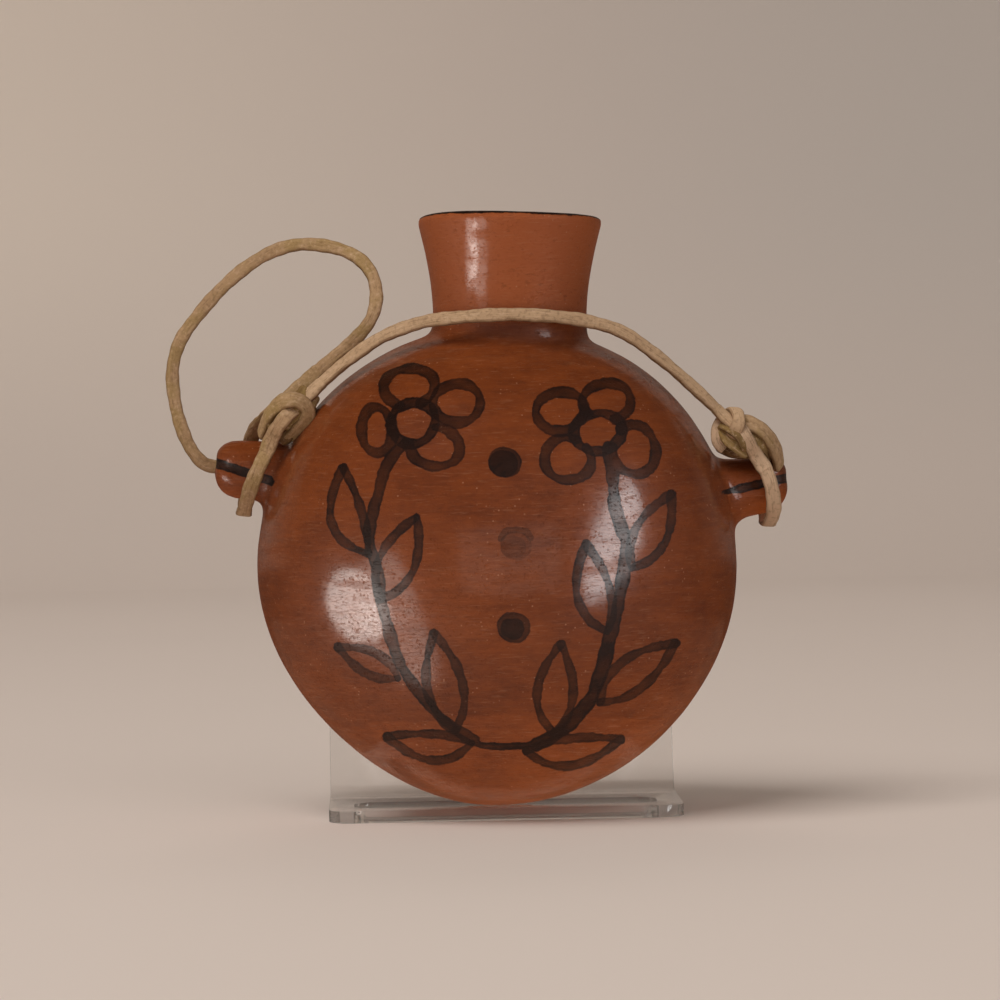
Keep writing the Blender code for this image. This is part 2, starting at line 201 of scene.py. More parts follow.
class Signal:
    """A number that varies over a surface: a node's socket that takes part in arithmetic."""

    def __init__(self, paint: "NodePad", socket: bpy.types.NodeSocket) -> None:
        """Wraps one output socket of a material's nodes."""
        self.paint = paint
        self.socket = socket

    def _math(self, operation: str, first: Any, second: Any = 0.0) -> "Signal":
        """A Math node over two signals or numbers."""
        return self.paint.node("ShaderNodeMath", {"operation": operation}, {0: first, 1: second})

    def __add__(self, other: Any) -> "Signal":
        """Sum."""
        return self._math("ADD", self, other)

    def __radd__(self, other: Any) -> "Signal":
        """Sum, from the right."""
        return self._math("ADD", other, self)

    def __sub__(self, other: Any) -> "Signal":
        """Difference."""
        return self._math("SUBTRACT", self, other)

    def __rsub__(self, other: Any) -> "Signal":
        """Difference, from the right."""
        return self._math("SUBTRACT", other, self)

    def __mul__(self, other: Any) -> "Signal":
        """Product."""
        return self._math("MULTIPLY", self, other)

    def __rmul__(self, other: Any) -> "Signal":
        """Product, from the right."""
        return self._math("MULTIPLY", other, self)

    def absolute(self) -> "Signal":
        """Size without its sign."""
        return self._math("ABSOLUTE", self)

    def rise(self, low: float, high: float) -> "Signal":
        """Eases from 0 to 1 as the signal goes from low to high.

        Args:
            low: Where the result is 0.
            high: Where the result is 1.

        Returns:
            The signal between 0 and 1.
        """
        settings = {"interpolation_type": "SMOOTHSTEP", "clamp": True}
        inputs = {"Value": self, "From Min": low, "From Max": high}
        return self.paint.node("ShaderNodeMapRange", settings, inputs)


class NodePad:
    """The nodes of one material, with its main shader."""

    def __init__(self, name: str) -> None:
        """Makes an empty material with a Principled shader and its output."""
        self.material = bpy.data.materials.new(name)
        self.material.use_nodes = True
        self.tree = self.material.node_tree
        self.shader = self.tree.nodes["Principled BSDF"]
        self.output = self.tree.nodes["Material Output"]

    def put(self, socket: bpy.types.NodeSocket, value: Any) -> None:
        """Sets a socket to a number or colour, or links it to a signal or socket."""
        if isinstance(value, Signal):
            value = value.socket
        if isinstance(value, bpy.types.NodeSocket):
            self.tree.links.new(value, socket)
        elif isinstance(value, (tuple, list)) and len(value) == 3 and socket.type == "RGBA":
            socket.default_value = (*value, 1.0)
        else:
            socket.default_value = value

    def node(
        self, kind: str, settings: dict[str, Any], inputs: dict[Any, Any], output: Any = 0
    ) -> Signal:
        """Adds one node of any type.

        Args:
            kind: The node's type.
            settings: Its own settings, set first.
            inputs: Values or links of its sockets, by name or number.
            output: Which output socket to hand back.

        Returns:
            That output, as a signal.
        """
        made = self.tree.nodes.new(kind)
        for name, value in settings.items():
            setattr(made, name, value)
        for name, value in inputs.items():
            self.put(made.inputs[name], value)
        return Signal(self, made.outputs[output])

    def value(self, name: str) -> Signal:
        """A number stored on the mesh."""
        return self.node("ShaderNodeAttribute", {"attribute_name": name}, {}, "Fac")

    def stretched(self, scale: Sequence[float], shift: Sequence[float] = (0, 0, 0)) -> Signal:
        """Object coordinates, stretched by a Mapping node."""
        source = self.node("ShaderNodeTexCoord", {}, {}, "Object")
        inputs = {"Vector": source, "Scale": scale, "Location": shift}
        return self.node("ShaderNodeMapping", {}, inputs)

    def noise(self, scale: Sequence[float], detail: float = 2.0, rough: float = 0.5) -> Signal:
        """Noise from 0 to 1, with its own scale along each axis, in cells to a metre."""
        inputs = {"Vector": self.stretched(scale), "Scale": 1.0, "Detail": detail}
        return self.node("ShaderNodeTexNoise", {}, {**inputs, "Roughness": rough})

    def specks(self, scale: float, shift: float = 0.0) -> Signal:
        """Distance from the nearest of many scattered points, in cells."""
        inputs = {"Vector": self.stretched((scale,) * 3, (shift,) * 3), "Scale": 1.0}
        return self.node("ShaderNodeTexVoronoi", {}, inputs, "Distance")

    def blend(self, factor: Any, first: Any, second: Any) -> Signal:
        """Mixes two colours; the factor is how much of the second shows."""
        return self.node(
            "ShaderNodeMix", {"data_type": "RGBA"}, {0: factor, 6: first, 7: second}, 2
        )

    def bump(self, height: Signal, distance: float, under: Signal | None = None) -> Signal:
        """Raises the surface by a height, over the bumps below it.

        Args:
            height: The relief, from 0 to 1.
            distance: How far 1 stands out, in metres.
            under: Bumps that this one lies on.

        Returns:
            The changed normal.
        """
        inputs = {"Height": height, "Distance": distance, "Strength": 1.0}
        if under is not None:
            inputs["Normal"] = under
        return self.node("ShaderNodeBump", {}, inputs)

    def dress(self, **inputs: Any) -> bpy.types.Material:
        """Sets sockets of the main shader by name, with underscores for spaces."""
        for name, value in inputs.items():
            self.put(self.shader.inputs[name.replace("_", " ")], value)
        return self.material


# Finishes


@dataclass(frozen=True)
class BurnishedClay:
    """Red-brown clay, rubbed to a soft shine in level strokes, and painted with a dark wash."""

    red: tuple = (0.240, 0.0545, 0.0102)
    brown: tuple = (0.112, 0.0245, 0.0062)
    pink: tuple = (0.370, 0.096, 0.0285)
    wash: tuple = (0.0140, 0.0050, 0.0027)
    grit: tuple = (0.46, 0.22, 0.12)

    def make(self) -> bpy.types.Material:
        """Builds the clay's material.

        Returns:
            The material, which reads the painting stored on the mesh.
        """
        pad = NodePad("burnished_clay")
        cloud = pad.noise((24, 24, 34), 3.0, 0.55).rise(0.32, 0.66)
        rub = pad.noise((90, 90, 760), 3.0, 0.62)
        fine_rub = pad.noise((260, 260, 2600), 2.0, 0.6)
        mottle = pad.noise((420, 420, 760), 4.0, 0.7)
        dapple = pad.noise((110, 110, 190), 3.0, 0.6)
        tone = cloud * 0.42 + rub.rise(0.34, 0.68) * 0.24 + mottle.rise(0.36, 0.64) * 0.18
        tone = tone + dapple.rise(0.36, 0.62) * 0.18
        clay = pad.blend(tone, self.brown, self.red)
        # The neck is painted paler and pinker: partly the clay's own tone, partly a painted sheen
        # of light from above.
        clay = pad.blend(pad.value("neck_tone_and_sheen"), clay, self.pink)
        clay = pad.blend(fine_rub.rise(0.54, 0.76) * 0.16, clay, self.grit)
        clay = pad.blend(mottle.rise(0.54, 0.74) * 0.42, clay, self.brown)
        grains = pad.specks(620).rise(0.18, 0.07) * pad.noise((110, 110, 110)).rise(0.50, 0.62)
        clay = pad.blend(grains * 0.5, clay, self.grit)

        ragged = (pad.noise((620, 620, 620), 2.0) - 0.5) * 0.7 + (mottle - 0.5) * 0.3
        patchy = pad.noise((150, 150, 230), 3.0, 0.65)
        load = pad.value("ink_load") * (0.62 + 0.72 * patchy)
        bare = None
        for layer in range(PAINT_LAYERS):
            depth = pad.value(f"ink_{layer}") + ragged
            edge = 1.0 + 0.14 * depth.rise(0.9, 0.25)
            over = depth.rise(-0.14, 0.20) * load * edge
            bare = 1 - over if bare is None else bare * (1 - over)
        ink = 1 - bare
        colour = pad.blend(ink, clay, self.wash)

        dashes = pad.noise((640, 640, 3000), 3.0, 0.65).rise(0.55, 0.62)
        wipe = pad.noise((60, 60, 300), 3.0, 0.6).rise(0.30, 0.52)
        pits = pad.specks(1000, 3.1).rise(0.36, 0.20) * pad.noise((300, 300, 300)).rise(0.38, 0.55)
        coat = (1 - 0.64 * dashes) * (0.45 + 0.55 * wipe) * (1 - pits * 0.7) * (1 - 0.62 * ink)
        turned_away = pad.node("ShaderNodeLayerWeight", {}, {"Blend": 0.5}, "Facing")
        coat = coat * pad.value("rubbed") * (1 - 0.8 * turned_away.rise(0.60, 0.92))
        normal = pad.bump(rub, 0.00007)
        normal = pad.bump(mottle, 0.00005, normal)
        normal = pad.bump(1 - dashes, 0.00003, normal)
        normal = pad.bump(1 - pits, 0.00006, normal)
        return pad.dress(
            Base_Color=colour,
            Roughness=0.58 + 0.12 * dashes + 0.1 * pits,
            Normal=normal,
            Coat_Weight=coat,
            Coat_Roughness=0.15,
            Specular_IOR_Level=0.16,
        )


@dataclass(frozen=True)
class Rawhide:
    """Dry tan hide, paler where it is worn and browner on its cut sides, and painted darkest in
    the knots' hidden turns and cores as painted shade.
    """

    tan: tuple = (0.500, 0.318, 0.172)
    pale: tuple = (0.680, 0.470, 0.310)
    brown: tuple = (0.170, 0.088, 0.034)
    olive: tuple = (0.370, 0.245, 0.085)

    def make(self) -> bpy.types.Material:
        """Builds the lace's material.

        Returns:
            The material, which reads how far along and across the lace a point is.
        """
        pad = NodePad("rawhide")
        along = pad.value("lace_along")
        across = pad.value("lace_across")
        side = pad.value("lace_side")
        tone = pad.value("lace_tone_and_shade")
        place = {0: along * 0.22, 1: across * 4.2, 2: side + tone * 9}
        grain_at = pad.node("ShaderNodeCombineXYZ", {}, place)
        inputs = {"Vector": grain_at, "Scale": 1.0, "Detail": 5.0, "Roughness": 0.68}
        grain = pad.node("ShaderNodeTexNoise", {}, inputs)
        patches = pad.noise((150, 150, 150), 3.0)
        fleck = pad.noise((1100, 1100, 1100), 2.0)
        # Low tones are the laces' darker hide, and at the darkest they are painted shade on the
        # knots' hidden cores and turns.
        colour = pad.blend(tone.rise(0.12, 0.40), self.brown, self.olive)
        colour = pad.blend(tone.rise(0.30, 0.52), colour, self.tan)
        colour = pad.blend(tone.rise(0.45, 0.85), colour, self.pale)
        colour = pad.blend(grain.rise(0.46, 0.32) * 0.6, colour, self.brown)
        colour = pad.blend(grain.rise(0.53, 0.70) * 0.75, colour, self.pale)
        greener = patches.rise(0.46, 0.62) * tone.rise(0.60, 0.50)
        colour = pad.blend(greener * 0.55, colour, self.olive)
        colour = pad.blend(fleck.rise(0.54, 0.70) * 0.30, colour, self.brown)
        colour = pad.blend(fleck.rise(0.46, 0.30) * 0.45, colour, self.pale)
        colour = pad.blend(side.rise(0.35, 0.85) * 0.65, colour, self.brown)
        rim = (across.absolute() + (grain - 0.5) * 0.8).rise(0.66, 0.95)
        colour = pad.blend(rim * 0.35, colour, self.brown)
        normal = pad.bump(grain, 0.00022)
        normal = pad.bump(fleck, 0.00020, normal)
        return pad.dress(
            Base_Color=colour,
            Roughness=0.66 + 0.16 * grain,
            Normal=normal,
            Specular_IOR_Level=0.25,
        )


@dataclass(frozen=True)
class ClearAcrylic:
    """Clear sheet, polished on its faces and a little dull where it was sawn."""

    tint: tuple = (0.97, 0.975, 0.97)
    roughness: float = 0.015

    def make(self) -> bpy.types.Material:
        """Builds the clear sheet's material, whose shadow is pale."""
        pad = NodePad("clear_sheet")
        handling = pad.noise((90, 90, 90), 3.0)
        pad.dress(
            Base_Color=self.tint,
            Roughness=self.roughness + 0.03 * handling.rise(0.5, 0.75),
            Transmission_Weight=1.0,
            IOR=1.49,
            Alpha=0.78,
        )
        clear = pad.node("ShaderNodeBsdfTransparent", {}, {"Color": (0.86, 0.86, 0.85)})
        ray = pad.node("ShaderNodeLightPath", {}, {}, "Is Shadow Ray")
        mixed = pad.node(
            "ShaderNodeMixShader", {}, {0: ray, 1: pad.shader.outputs[0], 2: clear}
        )
        pad.put(pad.output.inputs["Surface"], mixed)
        return pad.material


@dataclass(frozen=True)
class Plaster:
    """The matt greige of the floor and the wall behind it, with painted light and painted shade up
    the wall.
    """

    colour: tuple = (0.790, 0.690, 0.625)
    painted_light_left: tuple = (0.930, 0.815, 0.715)
    painted_shade_right: tuple = (0.720, 0.650, 0.600)

    def make(self) -> bpy.types.Material:
        """Builds the backdrop's material, with painted light up the wall on the left and painted
        shade up the wall on the right.
        """
        pad = NodePad("backdrop_plaster")
        cloud = pad.noise((3, 3, 3), 2.0)
        darker = tuple(c * 0.96 for c in self.colour)
        place = pad.stretched((1, 1, 1))
        x = pad.node("ShaderNodeSeparateXYZ", {}, {0: place}, 0)
        up = pad.node("ShaderNodeSeparateXYZ", {}, {0: place}, 2).rise(0.0, 0.24)
        colour = pad.blend(cloud, darker, self.colour)
        # Painted light lightens the wall on its left, and painted shade darkens it on its right,
        # both more strongly higher up.
        colour = pad.blend(up * x.rise(0.20, -0.40), colour, self.painted_light_left)
        colour = pad.blend(up * x.rise(0.0, 0.35), colour, self.painted_shade_right)
        return pad.dress(Base_Color=colour, Roughness=0.9)


# The camera


@dataclass(frozen=True)
class Viewpoint:
    """Where the photograph was taken from: low, a little to the left, a metre off."""

    distance: float = 1.1
    span: float = 0.25
    eye: Vector = field(default_factory=lambda: Vector((-0.0278, -1.0996, 0.0506)))
    aim: Vector = field(default_factory=lambda: Vector((0.001, 0.0, 0.01625)))
    roll: float = math.radians(-1.0)

    def frame(self) -> Matrix:
        """The camera's own axes and place."""
        look = (self.aim - self.eye).to_track_quat("-Z", "Y").to_matrix()
        turned = look @ Matrix.Rotation(self.roll, 3, "Z")
        return Matrix.Translation(BODY_CENTRE + self.eye) @ turned.to_4x4()

    def make(self) -> None:
        """Sets up the scene's camera."""
        lens = bpy.data.cameras.new("camera")
        lens.sensor_width = 36.0
        lens.lens = lens.sensor_width * self.distance / self.span
        lens.clip_end = 20.0
        made = bpy.data.objects.new("camera", lens)
        made.matrix_world = self.frame()
        bpy.context.scene.collection.objects.link(made)
        bpy.context.scene.camera = made

    def stencil(self, places: np.ndarray) -> np.ndarray:
        """Lays places flat on the picture as it is seen from here.

        Args:
            places: Rows of three numbers, in metres.

        Returns:
            Rows of two numbers, in millimetres right of and above the middle of the picture.
        """
        inverse = np.array(self.frame().inverted())
        seen = places @ inverse[:3, :3].T + inverse[:3, 3]
        return seen[:, :2] / -seen[:, 2:] * self.distance / MM


# The painting. Its sizes are in millimetres on the picture.


PAINT_LAYERS = 4


def brush_course(points: Sequence[Sequence[float]], closed: bool = False) -> np.ndarray:
    """A smooth course through some points.

    Args:
        points: The points it passes, as pairs.
        closed: Whether it returns to its start.

    Returns:
        Closely spaced points along it.
    """
    p = [Vector((x, z, 0.0)) for x, z in points]
    count = len(p)
    course = [p[0]]
    for i in range(count if closed else count - 1):
        a, b = p[i], p[(i + 1) % count]
        before = p[i - 1] if closed or i > 0 else a
        after = p[(i + 2) % count] if closed or i + 2 < count else b
        course += interpolate_bezier(a, a + (b - before) / 6, b - (after - a) / 6, b, 9)[1:]
    return np.array([point[:2] for point in course])


@dataclass(frozen=True)
class Stroke:
    """One stroke of the brush: its course, width, layer, and how much wash it carries."""

    course: np.ndarray
    width: float
    layer: int
    load: float
    start: float = 1.0
    end: float = 1.0
    waver: float = 0.10

    def reach(self, seen: np.ndarray) -> tuple[np.ndarray, np.ndarray]:
        """How far inside the stroke each place is.

        Args:
            seen: Rows of two numbers on the picture.

        Returns:
            Which rows are near the stroke, and their depth inside its edge.
        """
        margin = self.width + 2.0
        low, high = self.course.min(axis=0) - margin, self.course.max(axis=0) + margin
        near = np.nonzero(np.all((seen > low) & (seen < high), axis=1))[0]
        best = np.full(len(near), -np.inf)
        step = np.linalg.norm(np.diff(self.course, axis=0), axis=1)
        along = np.concatenate([[0.0], np.cumsum(step)])
        phase = float(self.course[0] @ (1.3, 0.7))
        for i, (a, b) in enumerate(zip(self.course, self.course[1:])):
            edge = b - a
            t = np.clip((seen[near] - a) @ edge / max(edge @ edge, TINY**2), 0, 1)
            gap = np.linalg.norm(seen[near] - (a + t[:, None] * edge), axis=1)
            s = along[i] + t * step[i]
            share = s / along[-1]
            wave = np.sin(s * 0.42 + phase) + 0.7 * np.sin(s * 0.95 + 2 * phase)
            swell = self.start + (1 - self.start) * np.minimum(1, share * 3)
            swell = swell * (self.end + (1 - self.end) * np.minimum(1, (1 - share) * 3))
            best = np.maximum(best, self.width * 0.5 * swell * (1 + self.waver * wave) - gap)
        return near, best


@dataclass(frozen=True)
class Flower:
    """A plain four-petalled flower: a ring, and round petals about it."""

    middle: tuple
    ring: tuple
    petals: tuple
    width: float = 2.7

    def strokes(self) -> list[Stroke]:
        """The ring, and the petals as open bows that stop at it."""
        made = [self._loop((0.0, 0.0), self.ring, 0, 0.88, 0.3)]
        for i, (x, z, across, up) in enumerate(self.petals):
            petal = self._loop((x, z), (across, up), 1 + i % 2, 0.82, i * 1.3)
            made.append(replace(petal, course=self._outside(petal.course)))
        return made

    def _outside(self, course: np.ndarray) -> np.ndarray:
        """The part of a petal's loop that lies outside the ring's line."""
        inside = (((course - self.middle) / self.ring) ** 2).sum(axis=1) < 0.9
        if not inside.any():
            return course
        last = int(np.nonzero(inside & ~np.roll(inside, -1))[0][0])
        turned = np.roll(course, -last - 1, axis=0)
        return turned[~np.roll(inside, -last - 1)]

    def _loop(
        self, offset: tuple, halves: tuple, layer: int, load: float, turn: float
    ) -> Stroke:
        """One closed loop, slightly squared and uneven as a brush leaves it."""
        points = []
        for i in range(10):
            a = 2 * math.pi * i / 10
            uneven = 1 + 0.035 * math.sin(2 * a + turn) + 0.025 * math.sin(3 * a - turn)
            points.append(
                (
                    self.middle[0] + offset[0] + halves[0] * uneven * math.cos(a),
                    self.middle[1] + offset[1] + halves[1] * uneven * math.sin(a),
                )
            )
        return Stroke(brush_course(points, True), self.width, layer, load, waver=0.14)


@dataclass(frozen=True)
class Leaf:
    """A plain pointed leaf, drawn as its two sides from the stem to its tip."""

    root: tuple
    tip: tuple
    left: float
    right: float
    load: float = 0.80
    width: float = 2.35

    def strokes(self) -> list[Stroke]:
        """Both sides of the leaf."""
        root, tip = Vector(self.root), Vector(self.tip)
        along = tip - root
        side = Vector((-along.y, along.x)).normalized()
        made = []
        for bulge, layer in ((self.left, 2), (-self.right, 3)):
            points = []
            for i in range(7):
                t = i / 6
                out = bulge * math.sin(math.pi * t**0.85) ** 0.9 if 0 < t < 1 else 0.0
                points.append(root + along * t + side * out)
            course = brush_course(points)
            made.append(Stroke(course, self.width, layer, self.load, 0.9, 0.98, 0.13))
        return made


@dataclass(frozen=True)
class Stem:
    """A stem, drawn down one side of the face."""

    points: tuple
    width: float
    load: float

    def strokes(self) -> list[Stroke]:
        """The stem in one stroke."""
        return [Stroke(brush_course(self.points), self.width, 1, self.load)]


@dataclass(frozen=True)
class Dot:
    """A round blot: a paler blot with a dark core."""

    middle: tuple
    radius: float
    load: float = 0.97

    def strokes(self) -> list[Stroke]:
        """The blot and its core, each a dab of the brush."""
        x, z = self.middle
        dab = np.array([(x - 0.4, z + 0.1), (x + 0.4, z - 0.1)])
        core = dab - (0.5, 0.3)
        return [
            Stroke(dab, 2 * self.radius - 0.6, 3, 0.80 * self.load, waver=0.08),
            Stroke(core, 1.45 * self.radius, 0, self.load, waver=0.14),
        ]


@dataclass(frozen=True)
class Wreath:
    """The painting on the face: two stems with flowers and leaves, and three blots between."""

    figures: tuple = (
        Flower(
            (-21.75, 19.25), (5.5, 5.2),
            ((-1.0, 9.0, 6.4, 4.7), (11.0, 5.0, 5.7, 5.0), (5.5, -6.0, 6.1, 5.0),
             (-9.0, -1.8, 4.0, 5.6)),
        ),
        Flower(
            (24.5, 17.0), (6.0, 4.8),
            ((-9.4, 5.2, 6.1, 4.9), (2.2, 7.6, 5.9, 4.8), (9.0, -4.4, 5.4, 6.3),
             (-7.6, -6.8, 6.0, 5.2)),
        ),
        Stem(
            ((-23.5, 14.5), (-26.8, 11.0), (-29.0, 7.0), (-30.5, 1.2), (-31.8, -3.2),
             (-32.8, -9.5), (-31.5, -14.5), (-30.5, -18.8), (-30.0, -23.8), (-28.5, -30.0),
             (-25.8, -39.0), (-22.5, -45.0), (-18.0, -50.8), (-13.8, -55.5), (-10.0, -58.0),
             (-6.5, -60.2)),
            3.0, 0.84,
        ),
        Stem(
            ((27.2, 13.0), (28.0, 8.0), (28.4, 1.8), (28.8, -2.0), (30.5, -7.5), (31.6, -11.2),
             (31.2, -15.5), (30.6, -19.8), (30.0, -24.0), (28.8, -29.8), (27.0, -35.5)),
            3.3, 0.88,
        ),
        Stem(
            ((27.4, -34.5), (25.8, -41.2), (24.2, -46.0), (22.5, -50.0), (19.5, -53.5),
             (16.0, -57.2), (12.0, -59.8), (9.0, -61.2)),
            3.6, 0.97,
        ),
        Stem(((-9.0, -59.0), (-5.0, -61.2), (2.5, -61.6), (9.5, -61.0)), 1.8, 0.92),
        Leaf((-33.0, -13.5), (-39.2, 8.2), 6.6, 1.4),
        Leaf((-30.0, -25.0), (-20.8, -4.2), 4.4, 4.6),
        Leaf((-25.5, -44.5), (-40.5, -36.8), 2.6, 3.0, 0.7),
        Leaf((-11.0, -57.5), (-16.5, -33.2), 4.8, 4.2),
        Leaf((-7.0, -60.8), (-28.2, -59.2), 5.0, 1.6),
        Leaf((33.0, -17.0), (42.8, 1.5), 3.8, 4.3),
        Leaf((26.8, -33.0), (21.5, -11.0), 5.2, 3.2),
        Leaf((13.5, -58.5), (15.2, -36.0), 5.0, 4.0),
        Leaf((25.0, -50.6), (43.8, -35.8), 4.5, 3.5),
        Leaf((6.5, -62.8), (30.2, -59.8), 1.8, 5.0),
        Dot((1.3, 9.4), 3.9),
        Dot((3.9, -11.4), 3.9, 0.3),
        Stem(((0.0, -9.8), (1.3, -8.1), (3.8, -7.5), (6.3, -7.8), (7.7, -9.4)), 1.7, 0.46),
        Dot((3.4, -31.8), 3.8),
    )
    pink_start: float = 60.0
    matt_start: float = 53.0
    streak: float = -4.7
    streak_half: float = 2.0
    lugs_start: float = 54.0

    def paint(self, obj: bpy.types.Object, view: Viewpoint) -> None:
        """Stores the painting on the front of a mesh, one value per layer.

        Args:
            obj: The clay vessel, in its place.
            view: Where the picture's middle is seen from.
        """
        places = places_of(obj)
        own = places @ np.array(PLACE.inverted())[:3, :3].T + np.array(PLACE.inverted())[:3, 3]
        front = np.nonzero((own[:, 1] < 0) & (shell_share(own) > CLAY.outside_share))[0]
        seen = view.stencil(places[front])
        layers = np.full((PAINT_LAYERS, len(places)), OUTSIDE)
        load = np.full(len(places), 0.8)
        closest = np.full(len(places), OUTSIDE)
        for figure in self.figures:
            for stroke in figure.strokes():
                near, depth = stroke.reach(seen)
                rows = front[near]
                layers[stroke.layer, rows] = np.maximum(layers[stroke.layer, rows], depth)
                nearer = depth > closest[rows]
                load[rows] = np.where(nearer, stroke.load, load[rows])
                closest[rows] = np.maximum(closest[rows], depth)
        for stripe in CLAY.stripes(own):
            layers[0] = np.maximum(layers[0], stripe)
            load = np.where(stripe > closest, 0.97, load)
            closest = np.maximum(closest, stripe)
        for i, layer in enumerate(layers):
            lay_value(obj, f"ink_{i}", layer)
        lay_value(obj, "ink_load", load)
        height = own[:, 2] / MM
        # Where the neck is painted paler and pinker, partly its own tone and partly a painted
        # sheen of light from above.
        on_neck = np.clip((height - self.pink_start) / 4.0, 0, 1)
        lay_value(obj, "neck_tone_and_sheen", on_neck * 0.8)
        at_neck = np.clip((height - self.matt_start) / 5.0, 0, 1)
        off_streak = np.abs(own[:, 0] / MM - self.streak) - self.streak_half
        aside = np.clip(off_streak / 1.6, 0, 1) * (own[:, 1] < 0.012)
        blotch = np.clip(0.55 + 1.4 * wander(own, 330.0, 11.0), 0.15, 1.0)
        rubbed = 1 - at_neck * np.maximum(aside, 1 - 1.3 * blotch)
        on_lugs = np.clip((np.abs(own[:, 0]) / MM - self.lugs_start) / 5.0, 0, 1)
        lay_value(obj, "rubbed", rubbed * (1 - 0.6 * on_lugs))


# The clay


@dataclass(frozen=True)
class Lug:
    """One nub on the body's side, in metres from the centre of the body."""

    side: int
    root: float
    length: float
    root_height: float
    tip_height: float
    half_height: float
    half_depth: float
    tip_share: float
    groove_root: float
    groove_tip: float
    heel: float
    stripe_start: float
    stripe_half: float
    stripe_taper: float

    @property
    def tip(self) -> float:
        """How far out the nub ends."""
        return self.root + self.length

    def middle(self, out: Any) -> Any:
        """Height of the nub's axis at a distance out."""
        share = (out - self.root) / self.length
        return self.root_height + (self.tip_height - self.root_height) * share

    def groove(self, out: Any) -> Any:
        """Height of the groove at a distance out."""
        share = (out - self.root) / self.length
        return self.groove_root + (self.groove_tip - self.groove_root) * share


def shell_share(places: np.ndarray) -> np.ndarray:
    """How far out of the body's centre places are: 1 on its skin, less inside."""
    x, y, z = places.T
    depth = np.where(y < 0, CLAY.front_depth, CLAY.back_depth)
    return np.sqrt((x / CLAY.radius) ** 2 + (y / depth) ** 2 + (z / CLAY.radius) ** 2)


